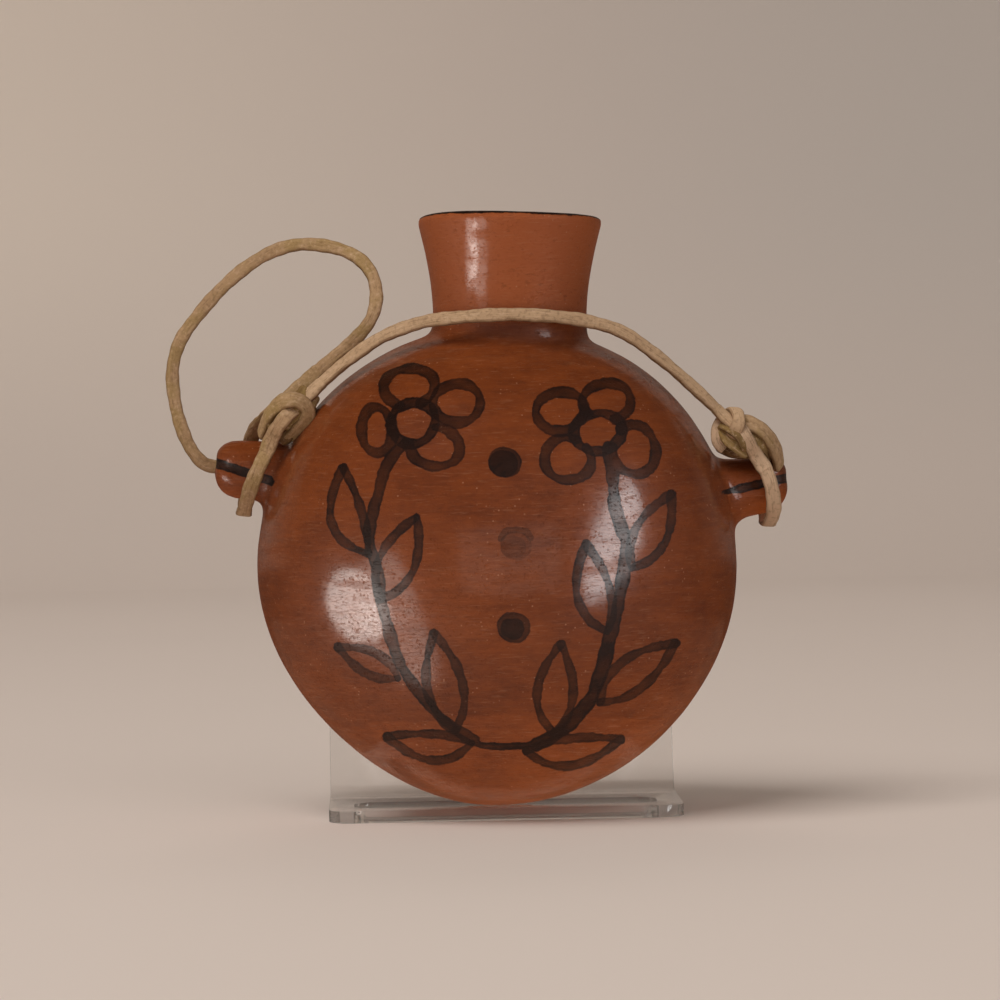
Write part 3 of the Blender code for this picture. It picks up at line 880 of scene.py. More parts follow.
@dataclass(frozen=True)
class Vessel:
    """The hollow clay body with its neck and both lugs, one piece of fired clay."""

    radius: float = 0.0600
    front_depth: float = 0.0460
    back_depth: float = 0.0400
    wall: float = 0.0050
    quarter_swell: tuple = (0.0011, 0.0, -0.0019, -0.0007)
    neck_offset: float = 0.0033
    waist_height: float = 0.0640
    neck_top: float = 0.0870
    waist_radius: float = 0.0193
    lip_radius: float = 0.0235
    flare_power: float = 1.6
    neck_wall: float = 0.0040
    lip_round: float = 0.0013
    grain: float = 0.00084
    outside_share: float = 0.955
    left: Lug = Lug(
        side=-1, root=0.05525, length=0.0154, root_height=0.0234, tip_height=0.0243,
        half_height=0.0079, half_depth=0.0066, tip_share=0.88, groove_root=0.0205,
        groove_tip=0.0256, heel=0.0030, stripe_start=0.0002, stripe_half=0.0013,
        stripe_taper=0.0010,
    )
    right: Lug = Lug(
        side=1, root=0.05742, length=0.0157, root_height=0.0187, tip_height=0.0208,
        half_height=0.0079, half_depth=0.0066, tip_share=0.86, groove_root=0.0182,
        groove_tip=0.0218, heel=0.0042, stripe_start=-0.0020, stripe_half=0.0012,
        stripe_taper=0.0080,
    )

    def build(self, view: Viewpoint) -> bpy.types.Object:
        """Models, paints and dresses the vessel.

        Args:
            view: Where the painting is laid out from.

        Returns:
            The vessel in its place.
        """
        made = self._lens("clay_vessel", 0.0, 160, 80)
        merge_into(made, self._neck(), "UNION")
        for lug in (self.left, self.right):
            merge_into(made, self._lug(lug), "UNION")
        finish_with(made, "REMESH", mode="VOXEL", voxel_size=self.grain, use_smooth_shade=True)
        self._soften_joints(made)
        self._hand_shape(made)
        merge_into(made, self._lens("hollow", self.wall, 96, 48), "DIFFERENCE")
        merge_into(made, self._bore(), "DIFFERENCE")
        made.data.transform(PLACE)
        made.data.shade_smooth()
        WREATH.paint(made, view)
        made.data.materials.clear()
        made.data.materials.append(BurnishedClay().make())
        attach(made, BODY)
        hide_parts("canteen")
        return made

    def stripes(self, own: np.ndarray) -> list[np.ndarray]:
        """The dark stripes along both grooves and round the rim, as depths inside their edges.

        Args:
            own: Rows of three numbers about the body's centre.

        Returns:
            One row of depths in millimetres for each stripe.
        """
        made = []
        for lug in (self.left, self.right):
            out = own[:, 0] * lug.side
            start = lug.root + lug.stripe_start
            broad = lug.stripe_half * np.clip(0.35 + (out - start) / lug.stripe_taper, 0, 1)
            inside = np.minimum(broad - np.abs(own[:, 2] - lug.groove(out)), out - start)
            on_lug = (own[:, 1] < 0.003) & (out > lug.root - 0.004)
            made.append(np.where(on_lug, inside / MM, OUTSIDE))
        about = np.hypot(own[:, 0] - self.neck_offset, own[:, 1])
        turn = np.arctan2(own[:, 1], own[:, 0] - self.neck_offset)
        uneven = RIM_WAVE * np.sin(2 * turn + 0.6) + 0.00010 * np.sin(7 * turn)
        rim = own[:, 2] - (self.neck_top - 0.0007 + uneven)
        made.append(np.where(about > self.lip_radius - self.neck_wall, rim / MM, OUTSIDE))
        return made

    def _lens(self, name: str, inset: float, around: int, across: int) -> bpy.types.Object:
        """The body's skin, or the hollow when it is inset by the wall."""
        start_fresh()
        bpy.ops.mesh.primitive_uv_sphere_add(
            segments=around, ring_count=across, radius=1.0, rotation=(math.pi / 2, 0.0, 0.0)
        )
        made = bpy.context.object
        made.name = name
        drop_place(made)
        bpy.ops.object.mode_set(mode="EDIT")
        middle = {"center_override": (0.0, 0.0, 0.0)}
        round_size = self.radius - inset
        choose(made, lambda co: True)
        bpy.ops.transform.resize(value=(round_size, 1.0, round_size), **middle)
        choose(made, lambda co: co.y < 0)
        bpy.ops.transform.resize(value=(1.0, self.front_depth - inset, 1.0), **middle)
        choose(made, lambda co: co.y > TINY)
        bpy.ops.transform.resize(value=(1.0, self.back_depth - inset, 1.0), **middle)
        bpy.ops.object.mode_set(mode="OBJECT")
        places = places_of(made)
        angle = np.arctan2(places[:, 2], places[:, 0]) % (2 * math.pi)
        swell = np.array(self.quarter_swell)[(angle // (math.pi / 2)).astype(int)]
        places[:, [0, 2]] *= (1 + swell * np.sin(2 * angle) ** 2 / self.radius)[:, None]
        put_places(made, places)
        return made

    def _ringed(
        self, name: str, start: tuple, rings: list[tuple], turned: bool, around: int = 72
    ) -> bpy.types.Object:
        """A turned form: a disc that is drawn out ring by ring.

        Args:
            name: The object's name.
            start: The first ring: how far along, its two half sizes, and how high its middle is.
            rings: The rings after it, in the same form.
            turned: Whether it is drawn out along X, as a nub, or else along Z, as a neck.
            around: How many points a ring has.

        Returns:
            The closed form.
        """
        start_fresh()
        bpy.ops.mesh.primitive_circle_add(vertices=around, radius=1.0, fill_type="NGON")
        made = bpy.context.object
        made.name = name
        bpy.ops.object.mode_set(mode="EDIT")
        bpy.ops.mesh.select_all(action="SELECT")
        bpy.ops.transform.resize(value=(start[1], start[2], 1.0), center_override=(0.0, 0.0, 0.0))
        bpy.ops.transform.translate(value=(0.0, start[3], start[0]))
        now = start
        for ring in rings:
            move = {"value": (0.0, ring[3] - now[3], ring[0] - now[0])}
            bpy.ops.mesh.extrude_region_move(TRANSFORM_OT_translate=move)
            grown = (ring[1] / now[1], ring[2] / now[2], 1.0)
            bpy.ops.transform.resize(value=grown, center_override=(0.0, ring[3], ring[0]))
            now = ring
        bpy.ops.mesh.select_all(action="SELECT")
        bpy.ops.mesh.normals_make_consistent(inside=False)
        bpy.ops.object.mode_set(mode="OBJECT")
        if turned:
            axes = Matrix(((0, 0, 1, 0), (1, 0, 0, 0), (0, 1, 0, 0), (0, 0, 0, 1)))
            made.data.transform(axes)
        return made

    def neck_radius(self, height: float) -> float:
        """Outer radius of the neck at a height above the body's centre."""
        share = max(0.0, (height - self.waist_height) / (self.neck_top - self.waist_height))
        return self.waist_radius + (self.lip_radius - self.waist_radius) * share**self.flare_power

    def _neck_rings(self, foot: float, grow: float, lip: int) -> list[tuple]:
        """Rings of the neck's outer wall, or of its bore when grow is the wall taken off."""
        heights = [foot, self.waist_height]
        top = self.neck_top - self.lip_round
        heights += [self.waist_height + (top - self.waist_height) * i / 14 for i in range(1, 15)]
        rings = [(h, self.neck_radius(h) + grow) for h in heights]
        edge = self.neck_radius(top) + grow
        for i in range(1, 6):
            a = math.pi / 2 * i / 5
            inward = self.lip_round * (1 - math.cos(a)) * lip
            rings.append((top + self.lip_round * math.sin(a), edge - inward))
        return [(h, r, r, 0.0) for h, r in rings]

    def _neck(self) -> bpy.types.Object:
        """The neck's outer form, from inside the body to its rounded rim."""
        rings = self._neck_rings(self.waist_height - 0.016, 0.0, 1)
        made = self._ringed("neck", rings[0], rings[1:], False, 120)
        made.data.transform(Matrix.Translation((self.neck_offset, 0.0, 0.0)))
        return made

    def _bore(self) -> bpy.types.Object:
        """The way in through the neck, opening out at the rim."""
        rings = self._neck_rings(self.waist_height - 0.013, -self.neck_wall, -1)
        height, radius, _, _ = rings[-1]
        rings.append((height + 0.006, radius, radius, 0.0))
        made = self._ringed("bore", rings[0], rings[1:], False, 120)
        made.data.transform(Matrix.Translation((self.neck_offset, 0.0, 0.0)))
        return made

    def _lug(self, lug: Lug) -> bpy.types.Object:
        """One nub with a blunt end, grooved along its front and round its tip."""
        end_length = 0.0065
        power = 2.6
        start_out = lug.root - 0.010
        end = lug.tip - end_length
        outs = [lug.root + 0.0015, lug.root + 0.004]
        outs += [lug.root + 0.004 + (end - lug.root - 0.004) * i / 5 for i in range(1, 6)]
        turns = [math.sin(math.pi / 2 * i / 12) for i in range(1, 13)]
        rings = []
        for out in outs:
            rings.append((out, 1.0))
        for t in turns:
            rings.append((end + end_length * t, (1 - min(t, 0.9985) ** power) ** (1 / power)))
        drawn = []
        for out, share in rings:
            taper = 1 + (lug.tip_share - 1) * max(0.0, out - lug.root) / lug.length
            heel = lug.heel * max(0.0, 1 - max(0.0, out - lug.root + 0.003) / 0.008)
            high = lug.half_height * share * taper + heel / 2
            drawn.append((out, lug.half_depth * share * taper, high, lug.middle(out) - heel / 2))
        heel = lug.heel
        first = (start_out, lug.half_depth, lug.half_height + heel / 2, lug.root_height - heel / 2)
        made = self._ringed(f"lug_{lug.side}", first, drawn, True, 72)
        places = places_of(made)
        out = places[:, 0].copy()
        near = np.exp(-(((places[:, 2] - lug.groove(out)) / 0.0015) ** 2))
        outer = np.clip((out - lug.root - 0.001) / end_length, 0, 1)
        front = np.clip(-places[:, 1] / lug.half_depth, 0, 1)
        tip = np.clip((out - end) / end_length, 0, None)
        places[:, 1] += 0.0012 * near * outer * front
        places[:, 0] -= 0.0005 * near * tip**2
        put_places(made, places)
        if lug.side < 0:
            places[:, 0] *= -1
            put_places(made, places)
            made.data.flip_normals()
        return made

    def _soften_joints(self, made: bpy.types.Object) -> None:
        """Runs the joints of the neck and the lugs into the body, as a thumb does."""
        finish_with(made, "SMOOTH", factor=0.5, iterations=3)
        places = places_of(made)
        skin = np.abs(shell_share(places) - 1.0)
        about = np.hypot(places[:, 0] - self.neck_offset, places[:, 1])
        at_neck = (about < self.waist_radius + 0.008) & (places[:, 2] > 0.045) & (skin < 0.14)
        near = at_neck
        for lug in (self.left, self.right):
            out = places[:, 0] * lug.side
            gap = np.hypot(places[:, 1] / 1.15, places[:, 2] - lug.root_height)
            at_lug = (gap < lug.half_height + 0.010) & (out > 0.045) & (out < lug.root + 0.0060)
            near = near | at_lug
        group = made.vertex_groups.new(name="joints")
        group.add(np.nonzero(near)[0].tolist(), 1.0, "REPLACE")
        finish_with(made, "SMOOTH", factor=0.5, iterations=36, vertex_group="joints")
        finish_with(made, "SMOOTH", factor=0.5, iterations=3)

    def _hand_shape(self, made: bpy.types.Object) -> None:
        """Gives the skin the slight unevenness of clay that is shaped and rubbed by hand."""
        places = places_of(made)
        normals = normals_of(made)
        shift = 0.00016 * wander(places, 48.0, 3.0) + 0.00003 * wander(places, 190.0, 7.0)
        rim = places[:, 2] > self.neck_top - 0.006
        turn = np.arctan2(places[:, 1], places[:, 0] - self.neck_offset)
        wave = RIM_WAVE * np.sin(2 * turn + 0.6)
        places += normals * shift[:, None]
        lift = np.clip((places[:, 2] - self.neck_top + 0.006) / 0.006, 0, 1)
        places[:, 2] += np.where(rim, wave * lift, 0.0)
        put_places(made, places)


CLAY = Vessel()
WREATH = Wreath()


# The thong


class Facing(Enum):
    """What the lace's broad side is turned to."""

    FRONT = "front"
    OFF_LUG = "off_lug"
    OFF_NECK = "off_neck"


LACE_WIDTH = 0.0033


@dataclass(frozen=True)
class Lace:
    """A flat lace of rawhide that follows a route given in millimetres about the body's centre."""

    name: str
    route: tuple
    facing: Facing
    node: str
    far_end: str
    lay: str
    about: tuple = (0.0, 0.0, 0.0)
    width: float = LACE_WIDTH
    thickness: float = 0.0018
    twist: float = 0.10
    tone: float = 0.5

    def centreline(self, spacing: float = 0.0007) -> np.ndarray:
        """Evenly spaced points along the middle of the lace, in its place.

        Args:
            spacing: The distance between points, in metres.

        Returns:
            Rows of three numbers.
        """
        return smooth_path([PLACE @ (Vector(p) * MM) for p in self.route], spacing)

    def broad(self, point: np.ndarray, share: float) -> np.ndarray:
        """The direction that the broad side is turned to at a point, before it is squared."""
        if self.facing is Facing.FRONT:
            return np.array((0.12, -1.0, 0.18))
        origin = np.array(PLACE @ Vector(self.about))
        away = point - origin
        if self.facing is Facing.OFF_LUG:
            away[0] *= 0.15
            return away
        flat = np.array((0.35 * away[0], away[1], 0.0))
        return flat / np.linalg.norm(flat) + np.array((0.0, 0.0, 0.22))

    def build(self, surface: bpy.types.Material) -> bpy.types.Object:
        """Sweeps the lace's flat section along its route.

        Args:
            surface: The rawhide.

        Returns:
            The lace.
        """
        path = self.centreline()
        section = (self.width, self.thickness)
        made = sweep_lace(self.name, path, self.broad, section, self.twist, self.tone)
        made.data.materials.append(surface)
        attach(made, BODY)
        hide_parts(self.node)
        return made

    def declare(self, made: bpy.types.Object, knots: Sequence[bpy.types.Object] = ()) -> float:
        """Measures the lace's length along its middle.

        Args:
            made: Not used.
            knots: Not used.

        Returns:
            Its length in metres.
        """
        path = self.centreline()
        length = float(np.linalg.norm(np.diff(path, axis=0), axis=1).sum())
        return length


def smooth_path(points: Sequence[Vector], spacing: float) -> np.ndarray:
    """Evenly spaced points along a smooth curve through some points.

    Args:
        points: The points that the curve passes.
        spacing: The distance between the new points, in metres.

    Returns:
        Rows of three numbers.
    """
    before = [points[0]] + list(points[:-1])
    after = list(points[1:]) + [points[-1]]
    pulls = [(b - a) / 6 for a, b in zip(before, after)]
    fine = [points[0]]
    for i in range(len(points) - 1):
        a, b = points[i], points[i + 1]
        fine += interpolate_bezier(a, a + pulls[i], b - pulls[i + 1], b, 16)[1:]
    fine = np.array([tuple(p) for p in fine])
    along = np.concatenate([[0.0], np.cumsum(np.linalg.norm(np.diff(fine, axis=0), axis=1))])
    places = np.linspace(0, along[-1], round(along[-1] / spacing) + 1)
    return np.stack([np.interp(places, along, fine[:, axis]) for axis in range(3)], axis=1)


def sweep_lace(
    name: str,
    path: np.ndarray,
    broad: Callable[[np.ndarray, float], np.ndarray],
    section: tuple,
    twist: float,
    tone: float,
    blunt: bool = False,
) -> bpy.types.Object:
    """Sweeps a flat section with rounded corners along a path.

    Args:
        name: The object's name.
        path: Rows of three numbers.
        broad: Gives the direction of the broad side at a point and its share of the way along.
        section: The section's width and thickness.
        twist: How far the section turns to and fro, in radians.
        tone: How pale the hide is here, from 0 to 1; the lowest values are painted shade inside
            the knots.
        blunt: Whether its last end runs on into another lace, and so isn't rounded.

    Returns:
        The swept lace, with its position along and across it stored on it.
    """
    around = 24
    tangents = np.gradient(path, axis=0)
    tangents /= np.linalg.norm(tangents, axis=1)[:, None]
    steps = np.linalg.norm(np.diff(path, axis=0, append=path[-1:]), axis=1)
    along = np.cumsum(steps)
    points, along_all, across_all, side_all = [], [], [], []
    turns = 2 * math.pi * np.arange(around) / around
    corner = 0.6
    u = np.sign(np.cos(turns)) * np.abs(np.cos(turns)) ** corner
    v = np.sign(np.sin(turns)) * np.abs(np.sin(turns)) ** corner
    count = len(path)
    for i, (point, tangent) in enumerate(zip(path, tangents)):
        face = broad(point.copy(), i / (count - 1))
        face = face - tangent * (face @ tangent)
        face /= max(np.linalg.norm(face), 1e-9)
        side = np.cross(tangent, face)
        s = along[i] / MM
        angle = twist * math.sin(0.33 * s + path[0, 0] * 900)
        face, side = (
            face * math.cos(angle) + side * math.sin(angle),
            side * math.cos(angle) - face * math.sin(angle),
        )
        end = i if blunt else min(i, count - 1 - i)
        ease = (0.86, 0.96, 1.0)[min(end, 2)]
        w = ease * section[0] / 2 * (1 + 0.05 * math.sin(0.55 * s) + 0.03 * math.sin(1.7 * s + 1))
        h = ease * section[1] / 2 * (1 + 0.07 * math.sin(0.8 * s + 2))
        points.append(point + np.outer(u * w, side) + np.outer(v * h, face))
        along_all += [s] * around
        across_all += list(u)
        side_all += list(np.abs(u) ** 6 * (1 - np.abs(v)))
    faces = []
    for i in range(count - 1):
        for k in range(around):
            m = (k + 1) % around
            faces.append(
                (i * around + k, i * around + m, (i + 1) * around + m, (i + 1) * around + k)
            )
    faces.append(tuple(range(around - 1, -1, -1)))
    faces.append(tuple((count - 1) * around + k for k in range(around)))
    made = mesh_object(name, np.concatenate(points), faces)
    check = bmesh.new()
    check.from_mesh(made.data)
    bmesh.ops.recalc_face_normals(check, faces=check.faces)
    check.to_mesh(made.data)
    check.free()
    made.data.shade_smooth()
    made.data.set_sharp_from_angle(angle=math.radians(70))
    lay_value(made, "lace_along", np.array(along_all))
    lay_value(made, "lace_across", np.array(across_all))
    lay_value(made, "lace_side", np.array(side_all))
    lay_value(made, "lace_tone_and_shade", np.full(len(along_all), tone))
    return made


@dataclass(frozen=True)
class Strand:
    """One visible turn of a knot, in millimetres about the body's centre."""

    route: tuple
    face: tuple = (0.0, -1.0, 0.2)
    end_face: tuple = (0.0, -1.0, 0.2)
    width: float = 3.3
    thickness: float = 1.7
    tone: float = 0.5
    blunt: bool = False

    def build(self, name: str) -> bpy.types.Object:
        """Sweeps the turn.

        Args:
            name: The object's name.

        Returns:
            The turn in its place.
        """
        path = smooth_path([PLACE @ (Vector(p) * MM) for p in self.route], 0.0004)
        first, last = np.array(self.face), np.array(self.end_face)

        def broad(point: np.ndarray, share: float) -> np.ndarray:
            """Turns evenly from the first facing to the last."""
            return first + (last - first) * share

        section = (self.width * MM, self.thickness * MM)
        return sweep_lace(name, path, broad, section, 0.0, self.tone, self.blunt)


def wrap(middle: tuple, along: tuple, radius: float, tone: float) -> Strand:
    """A turn of lace round the back of a knot's core.

    Args:
        middle: The centre of the turn.
        along: The direction of the core.
        radius: How far the turn is from the core's middle.
        tone: How pale it is.

    Returns:
        The turn, from above the core to below it.
    """
    way = Vector(along).normalized()
    back = (Vector((0.0, 1.0, 0.0)) - way * way.y).normalized()
    up = way.cross(back)
    up = up if up.z > 0 else -up
    route = []
    for i in range(9):
        a = math.pi * (i - 0.5) / 7
        route.append(tuple(Vector(middle) + (up * math.cos(a) + back * math.sin(a)) * radius))
    face, end_face = up + back * 0.4, back * 0.4 - up
    return Strand(tuple(route), tuple(face), tuple(end_face), 3.5, 1.5, tone)


@dataclass(frozen=True)
class Knot:
    """A tied knot, as the turns of lace that make it up."""

    name: str
    node: str
    strands: tuple

    def build(self, surface: bpy.types.Material) -> bpy.types.Object:
        """Winds the knot from its turns.

        Args:
            surface: The rawhide.

        Returns:
            The knot in its place, as one object.
        """
        turns = [s.build(f"{self.name}_{i}") for i, s in enumerate(self.strands)]
        start_fresh()
        for turn in turns:
            turn.select_set(True)
        bpy.context.view_layer.objects.active = turns[0]
        bpy.ops.object.join()
        made = bpy.context.object
        made.name = self.name
        made.data.materials.append(surface)
        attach(made, BODY)
        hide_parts(self.node)
        return made


# The turns of the left knot, from the ones beneath to the ones on top.
LEFT_TURNS = (
    # A thick dark core along the knot: painted shade that fills the knot's shadowed inside.
    Strand(
        ((-46.4, -7.6, 43.0), (-49.2, -7.8, 39.6), (-52.6, -7.2, 36.8), (-56.4, -5.6, 34.8)),
        width=5.6, thickness=6.4, tone=0.24,
    ),
    Strand(
        ((-46.2, -9.4, 42.4), (-47.8, -11.0, 39.6), (-49.6, -10.4, 36.6), (-52.0, -8.4, 33.6)),
        face=(0.3, -1.0, 0.3), end_face=(0.4, -1.0, -0.3), width=5.0, thickness=2.0, tone=0.3,
    ),
    Strand(
        ((-43.3, -10.5, 45.4), (-45.4, -10.6, 43.5), (-47.4, -10.6, 41.4), (-49.2, -10.0, 39.2),
         (-51.0, -8.8, 37.2)),
        face=(-0.76, -0.65, 0.22), end_face=(0.1, -1.0, 0.3), width=3.6, tone=0.62,
    ),
    Strand(
        ((-44.4, -5.4, 48.6), (-45.9, -5.7, 47.2), (-47.6, -6.8, 45.6), (-49.4, -7.6, 44.2),
         (-50.8, -8.0, 42.9), (-52.2, -8.4, 41.2), (-53.4, -8.4, 39.2)),
        face=(0.12, -1.0, 0.18), width=3.7, tone=0.45,
    ),
    Strand(
        ((-58.8, -3.4, 32.4), (-58.0, -5.6, 34.6), (-56.6, -8.6, 37.2), (-54.6, -11.0, 39.4),
         (-52.4, -12.2, 40.6), (-50.0, -12.6, 40.7), (-47.9, -12.0, 39.5), (-47.1, -11.2, 37.6),
         (-47.9, -10.2, 35.6), (-49.6, -9.0, 33.8), (-51.4, -7.6, 32.2), (-53.0, -6.4, 31.2)),
        face=(-0.9, -0.8, 0.6), end_face=(0.9, -0.8, -0.3), width=3.9, thickness=2.0, tone=0.45,
    ),
    Strand(
        ((-60.4, 4.3, 34.5), (-58.4, 0.8, 36.8), (-57.2, -2.0, 38.4), (-55.6, -4.8, 40.2),
         (-53.4, -6.4, 41.4)),
        face=(0.0, 0.35, 1.0), end_face=(-0.5, -0.6, 0.8), width=3.84, thickness=1.66, tone=0.52,
    ),
    Strand(
        ((-71.2, 7.7, 24.9), (-70.0, 8.2, 24.9), (-68.0, 8.9, 25.0), (-65.4, 8.4, 25.0),
         (-62.8, 7.7, 24.9), (-60.4, 7.6, 24.8)),
        face=(0.12, -1.0, 0.18), width=3.36, thickness=1.84, tone=0.5,
    ),
    wrap((-48.9, -7.4, 40.6), (-10.0, 2.0, -8.2), 3.7, 0.42),
    wrap((-52.6, -6.8, 37.6), (-10.0, 2.0, -8.2), 3.9, 0.5),
    # A thick dark piece inside the knot: painted shade for its shadowed inside.
    Strand(
        ((-50.6, -6.4, 34.6), (-52.2, -6.6, 33.0), (-54.6, -6.4, 31.4)),
        width=4.6, thickness=4.4, tone=0.14,
    ),
    Strand(
        ((-49.0, -9.0, 40.0), (-50.2, -10.6, 39.0), (-51.6, -12.0, 37.6), (-53.0, -12.4, 36.0),
         (-54.4, -11.6, 34.2), (-55.6, -10.2, 32.2), (-56.6, -9.5, 30.1), (-57.4, -9.4, 28.0)),
        face=(0.1, -1.0, 0.35), end_face=(0.055, -0.9, 0.42), width=3.84, thickness=1.66,
        tone=0.52, blunt=True,
    ),
)


# The turns of the right knot, from the ones beneath to the ones on top.
RIGHT_TURNS = (
    # A thick dark core along the knot: painted shade that fills the knot's shadowed inside.
    Strand(
        ((56.0, -7.8, 35.6), (59.4, -8.0, 32.8), (62.8, -7.2, 30.6), (65.4, -5.6, 29.0)),
        width=5.4, thickness=5.8, tone=0.24,
    ),
    Strand(
        ((53.9, -9.55, 39.1), (55.6, -9.9, 37.3), (57.2, -10.7, 35.7), (58.6, -11.2, 34.4),
         (59.8, -10.6, 33.4)),
        face=(0.76, -0.65, 0.22), end_face=(0.1, -1.0, 0.3), width=3.5, tone=0.6,
    ),
    Strand(
        ((57.0, -5.0, 36.2), (57.9, -5.8, 37.8), (58.8, -7.8, 38.4), (59.5, -10.6, 37.4),
         (59.7, -12.5, 35.4), (59.0, -12.5, 33.4), (57.9, -10.6, 32.0)),
        face=(0.4, -0.3, 0.9), end_face=(-0.3, -0.9, -0.4), width=3.3, tone=0.62,
    ),
    Strand(
        ((55.4, -10.4, 34.3), (57.2, -12.0, 33.4), (59.0, -12.8, 32.0), (60.4, -12.3, 30.2),
         (61.4, -10.6, 28.2)),
        face=(0.3, -0.9, 0.6), end_face=(-0.4, -0.9, 0.2), width=1.9, thickness=1.3, tone=0.22,
    ),
    Strand(
        ((56.4, -9.2, 34.4), (57.2, -10.1, 32.2), (58.6, -10.5, 30.4), (60.4, -10.2, 29.0),
         (62.2, -9.2, 27.8)),
        face=(-0.2, -1.0, 0.1), width=4.3, thickness=1.4, tone=0.36,
    ),
    Strand(
        ((56.4, -7.6, 37.0), (55.1, -8.6, 34.8), (54.4, -9.1, 32.4), (54.8, -8.9, 30.2),
         (56.2, -8.0, 28.6)),
        face=(-0.5, -1.0, 0.1), width=3.0, thickness=1.3, tone=0.8,
    ),
    Strand(
        ((59.0, -8.6, 35.0), (61.4, -9.9, 35.2), (64.0, -9.8, 34.3), (66.5, -9.0, 32.6),
         (68.4, -7.6, 30.2), (69.8, -5.6, 27.2), (70.5, -3.4, 24.2)),
        face=(0.1, -0.9, 0.5), end_face=(0.8, -0.7, 0.2), width=4.3, tone=0.5,
    ),
    # A thick dark piece inside the knot: painted shade for its shadowed inside.
    Strand(
        ((60.2, -7.4, 33.0), (63.2, -7.6, 31.6), (66.0, -6.2, 29.6), (67.8, -3.2, 27.4)),
        face=(0.1, -1.0, 0.3), width=4.6, thickness=4.6, tone=0.22,
    ),
    wrap((58.9, -7.6, 33.5), (9.4, 2.2, -6.6), 3.4, 0.5),
    wrap((62.3, -6.8, 31.1), (9.4, 2.2, -6.6), 3.4, 0.42),
    Strand(
        ((62.4, -6.4, 33.4), (64.6, -3.6, 33.0), (66.4, -0.4, 31.8), (67.5, 2.4, 30.4)),
        face=(0.4, 0.2, 1.0), end_face=(0.2, 0.4, 1.0), width=3.6, thickness=1.6, tone=0.45,
    ),
    # A dark strand over the lug's top: painted shade for the hidden turn in shadow between the
    # knot and the lug.
    Strand(
        ((55.2, -5.4, 30.0), (57.4, -6.2, 28.8), (60.2, -6.6, 28.0), (63.6, -6.4, 28.0)),
        face=(0.0, -1.0, 0.3), width=3.4, thickness=3.4, tone=0.06,
    ),
    Strand(
        ((58.9, -9.4, 35.0), (59.9, -11.4, 33.6), (61.1, -12.2, 31.9), (62.6, -10.8, 29.5),
         (64.3, -8.7, 26.9), (66.6, -9.15, 23.4)),
        face=(0.1, -1.0, 0.3), end_face=(0.0, -0.95, 0.3), width=3.74, thickness=1.66, tone=0.84,
        blunt=True,
    ),
)


@dataclass(frozen=True)
class Thong:
    """The whole tie: strap, standing tail, a loop round each lug, and two knots."""

    strap: Lace = Lace(
        "strap_lace",
        ((-44.2, -10.3, 44.6), (-37.4, -11.9, 50.4), (-28.7, -14.2, 56.2), (-18.8, -17.1, 59.7),
         (-10.8, -19.8, 60.6), (-3.9, -21.3, 61.1), (3.2, -21.9, 61.3), (9.6, -21.3, 61.1),
         (15.8, -19.6, 60.7), (22.5, -17.8, 59.8), (30.7, -16.0, 57.3), (38.9, -13.9, 51.9),
         (47.3, -11.6, 45.0), (52.4, -10.2, 40.4), (54.8, -9.4, 38.2)),
        Facing.OFF_NECK, "thong_strap", "knot", "taut", (0.0033, 0.004, 0.06), tone=0.62,
    )
    tail: Lace = Lace(
        "tail_lace",
        ((-45.4, -5.2, 47.7), (-40.2, -6.2, 52.1), (-35.2, -7.4, 56.4), (-32.0, -7.6, 60.2),
         (-30.5, -6.6, 64.0), (-30.2, -5.0, 68.2), (-31.4, -3.4, 72.8), (-34.9, -1.6, 76.9),
         (-41.0, 0.4, 79.6), (-49.0, 2.2, 80.5), (-56.2, 3.4, 78.8), (-63.0, 4.2, 74.8),
         (-69.4, 4.6, 69.2), (-75.0, 4.8, 62.8), (-79.4, 4.8, 56.4), (-81.3, 4.8, 49.4),
         (-80.9, 4.8, 42.2), (-79.4, 4.9, 35.6), (-77.0, 5.4, 29.8), (-74.0, 6.6, 26.0),
         (-70.9, 7.8, 24.9), (-68.0, 9.0, 25.0)),
        Facing.FRONT, "thong_tail", "object", "loose",
    )
    left_loop: Lace = Lace(
        "left_lug_lace",
        ((-55.8, -9.0, 32.0), (-57.4, -9.4, 28.0), (-59.6, -9.5, 23.4), (-61.4, -8.8, 18.9),
         (-62.6, -6.2, 15.0), (-63.2, -2.4, 13.2), (-63.3, 1.6, 13.1), (-63.2, 5.6, 14.8),
         (-62.9, 8.6, 18.8), (-62.6, 9.4, 24.2), (-62.2, 8.4, 29.6), (-60.8, 5.0, 34.0),
         (-58.4, 0.8, 36.8)),
        Facing.OFF_LUG, "lug_loop_left", "object", "taut", (-0.061, 0.0, 0.024), width=0.0038,
         thickness=0.0016, tone=0.52,
    )
    right_loop: Lace = Lace(
        "right_lug_lace",
        ((64.3, -8.5, 26.9), (66.6, -9.1, 23.4), (68.2, -8.8, 18.6), (68.8, -6.8, 13.9),
         (68.3, -2.8, 10.9), (67.9, 1.6, 10.5), (67.9, 5.8, 12.6), (68.4, 8.6, 17.0),
         (68.9, 8.5, 22.4), (68.9, 6.1, 27.2), (67.5, 2.4, 30.4)),
        Facing.OFF_LUG, "lug_loop_right", "object", "taut", (0.066, 0.0, 0.02), width=0.0037,
         thickness=0.0016, tone=0.84,
    )
    left_knot: Knot = Knot("left_knot_lace", "knot_left", LEFT_TURNS)
    right_knot: Knot = Knot("right_knot_lace", "knot_right", RIGHT_TURNS)

    def build(self) -> None:
        hide = Rawhide().make()
        knots = [knot.build(hide) for knot in (self.left_knot, self.right_knot)]
        for lace in (self.strap, self.tail, self.left_loop, self.right_loop):
            made = lace.build(hide)
            length = lace.declare(made, knots if lace is self.strap else ())
            LOG.info("%s is %.1f mm long", lace.name, length / MM)


# The stand


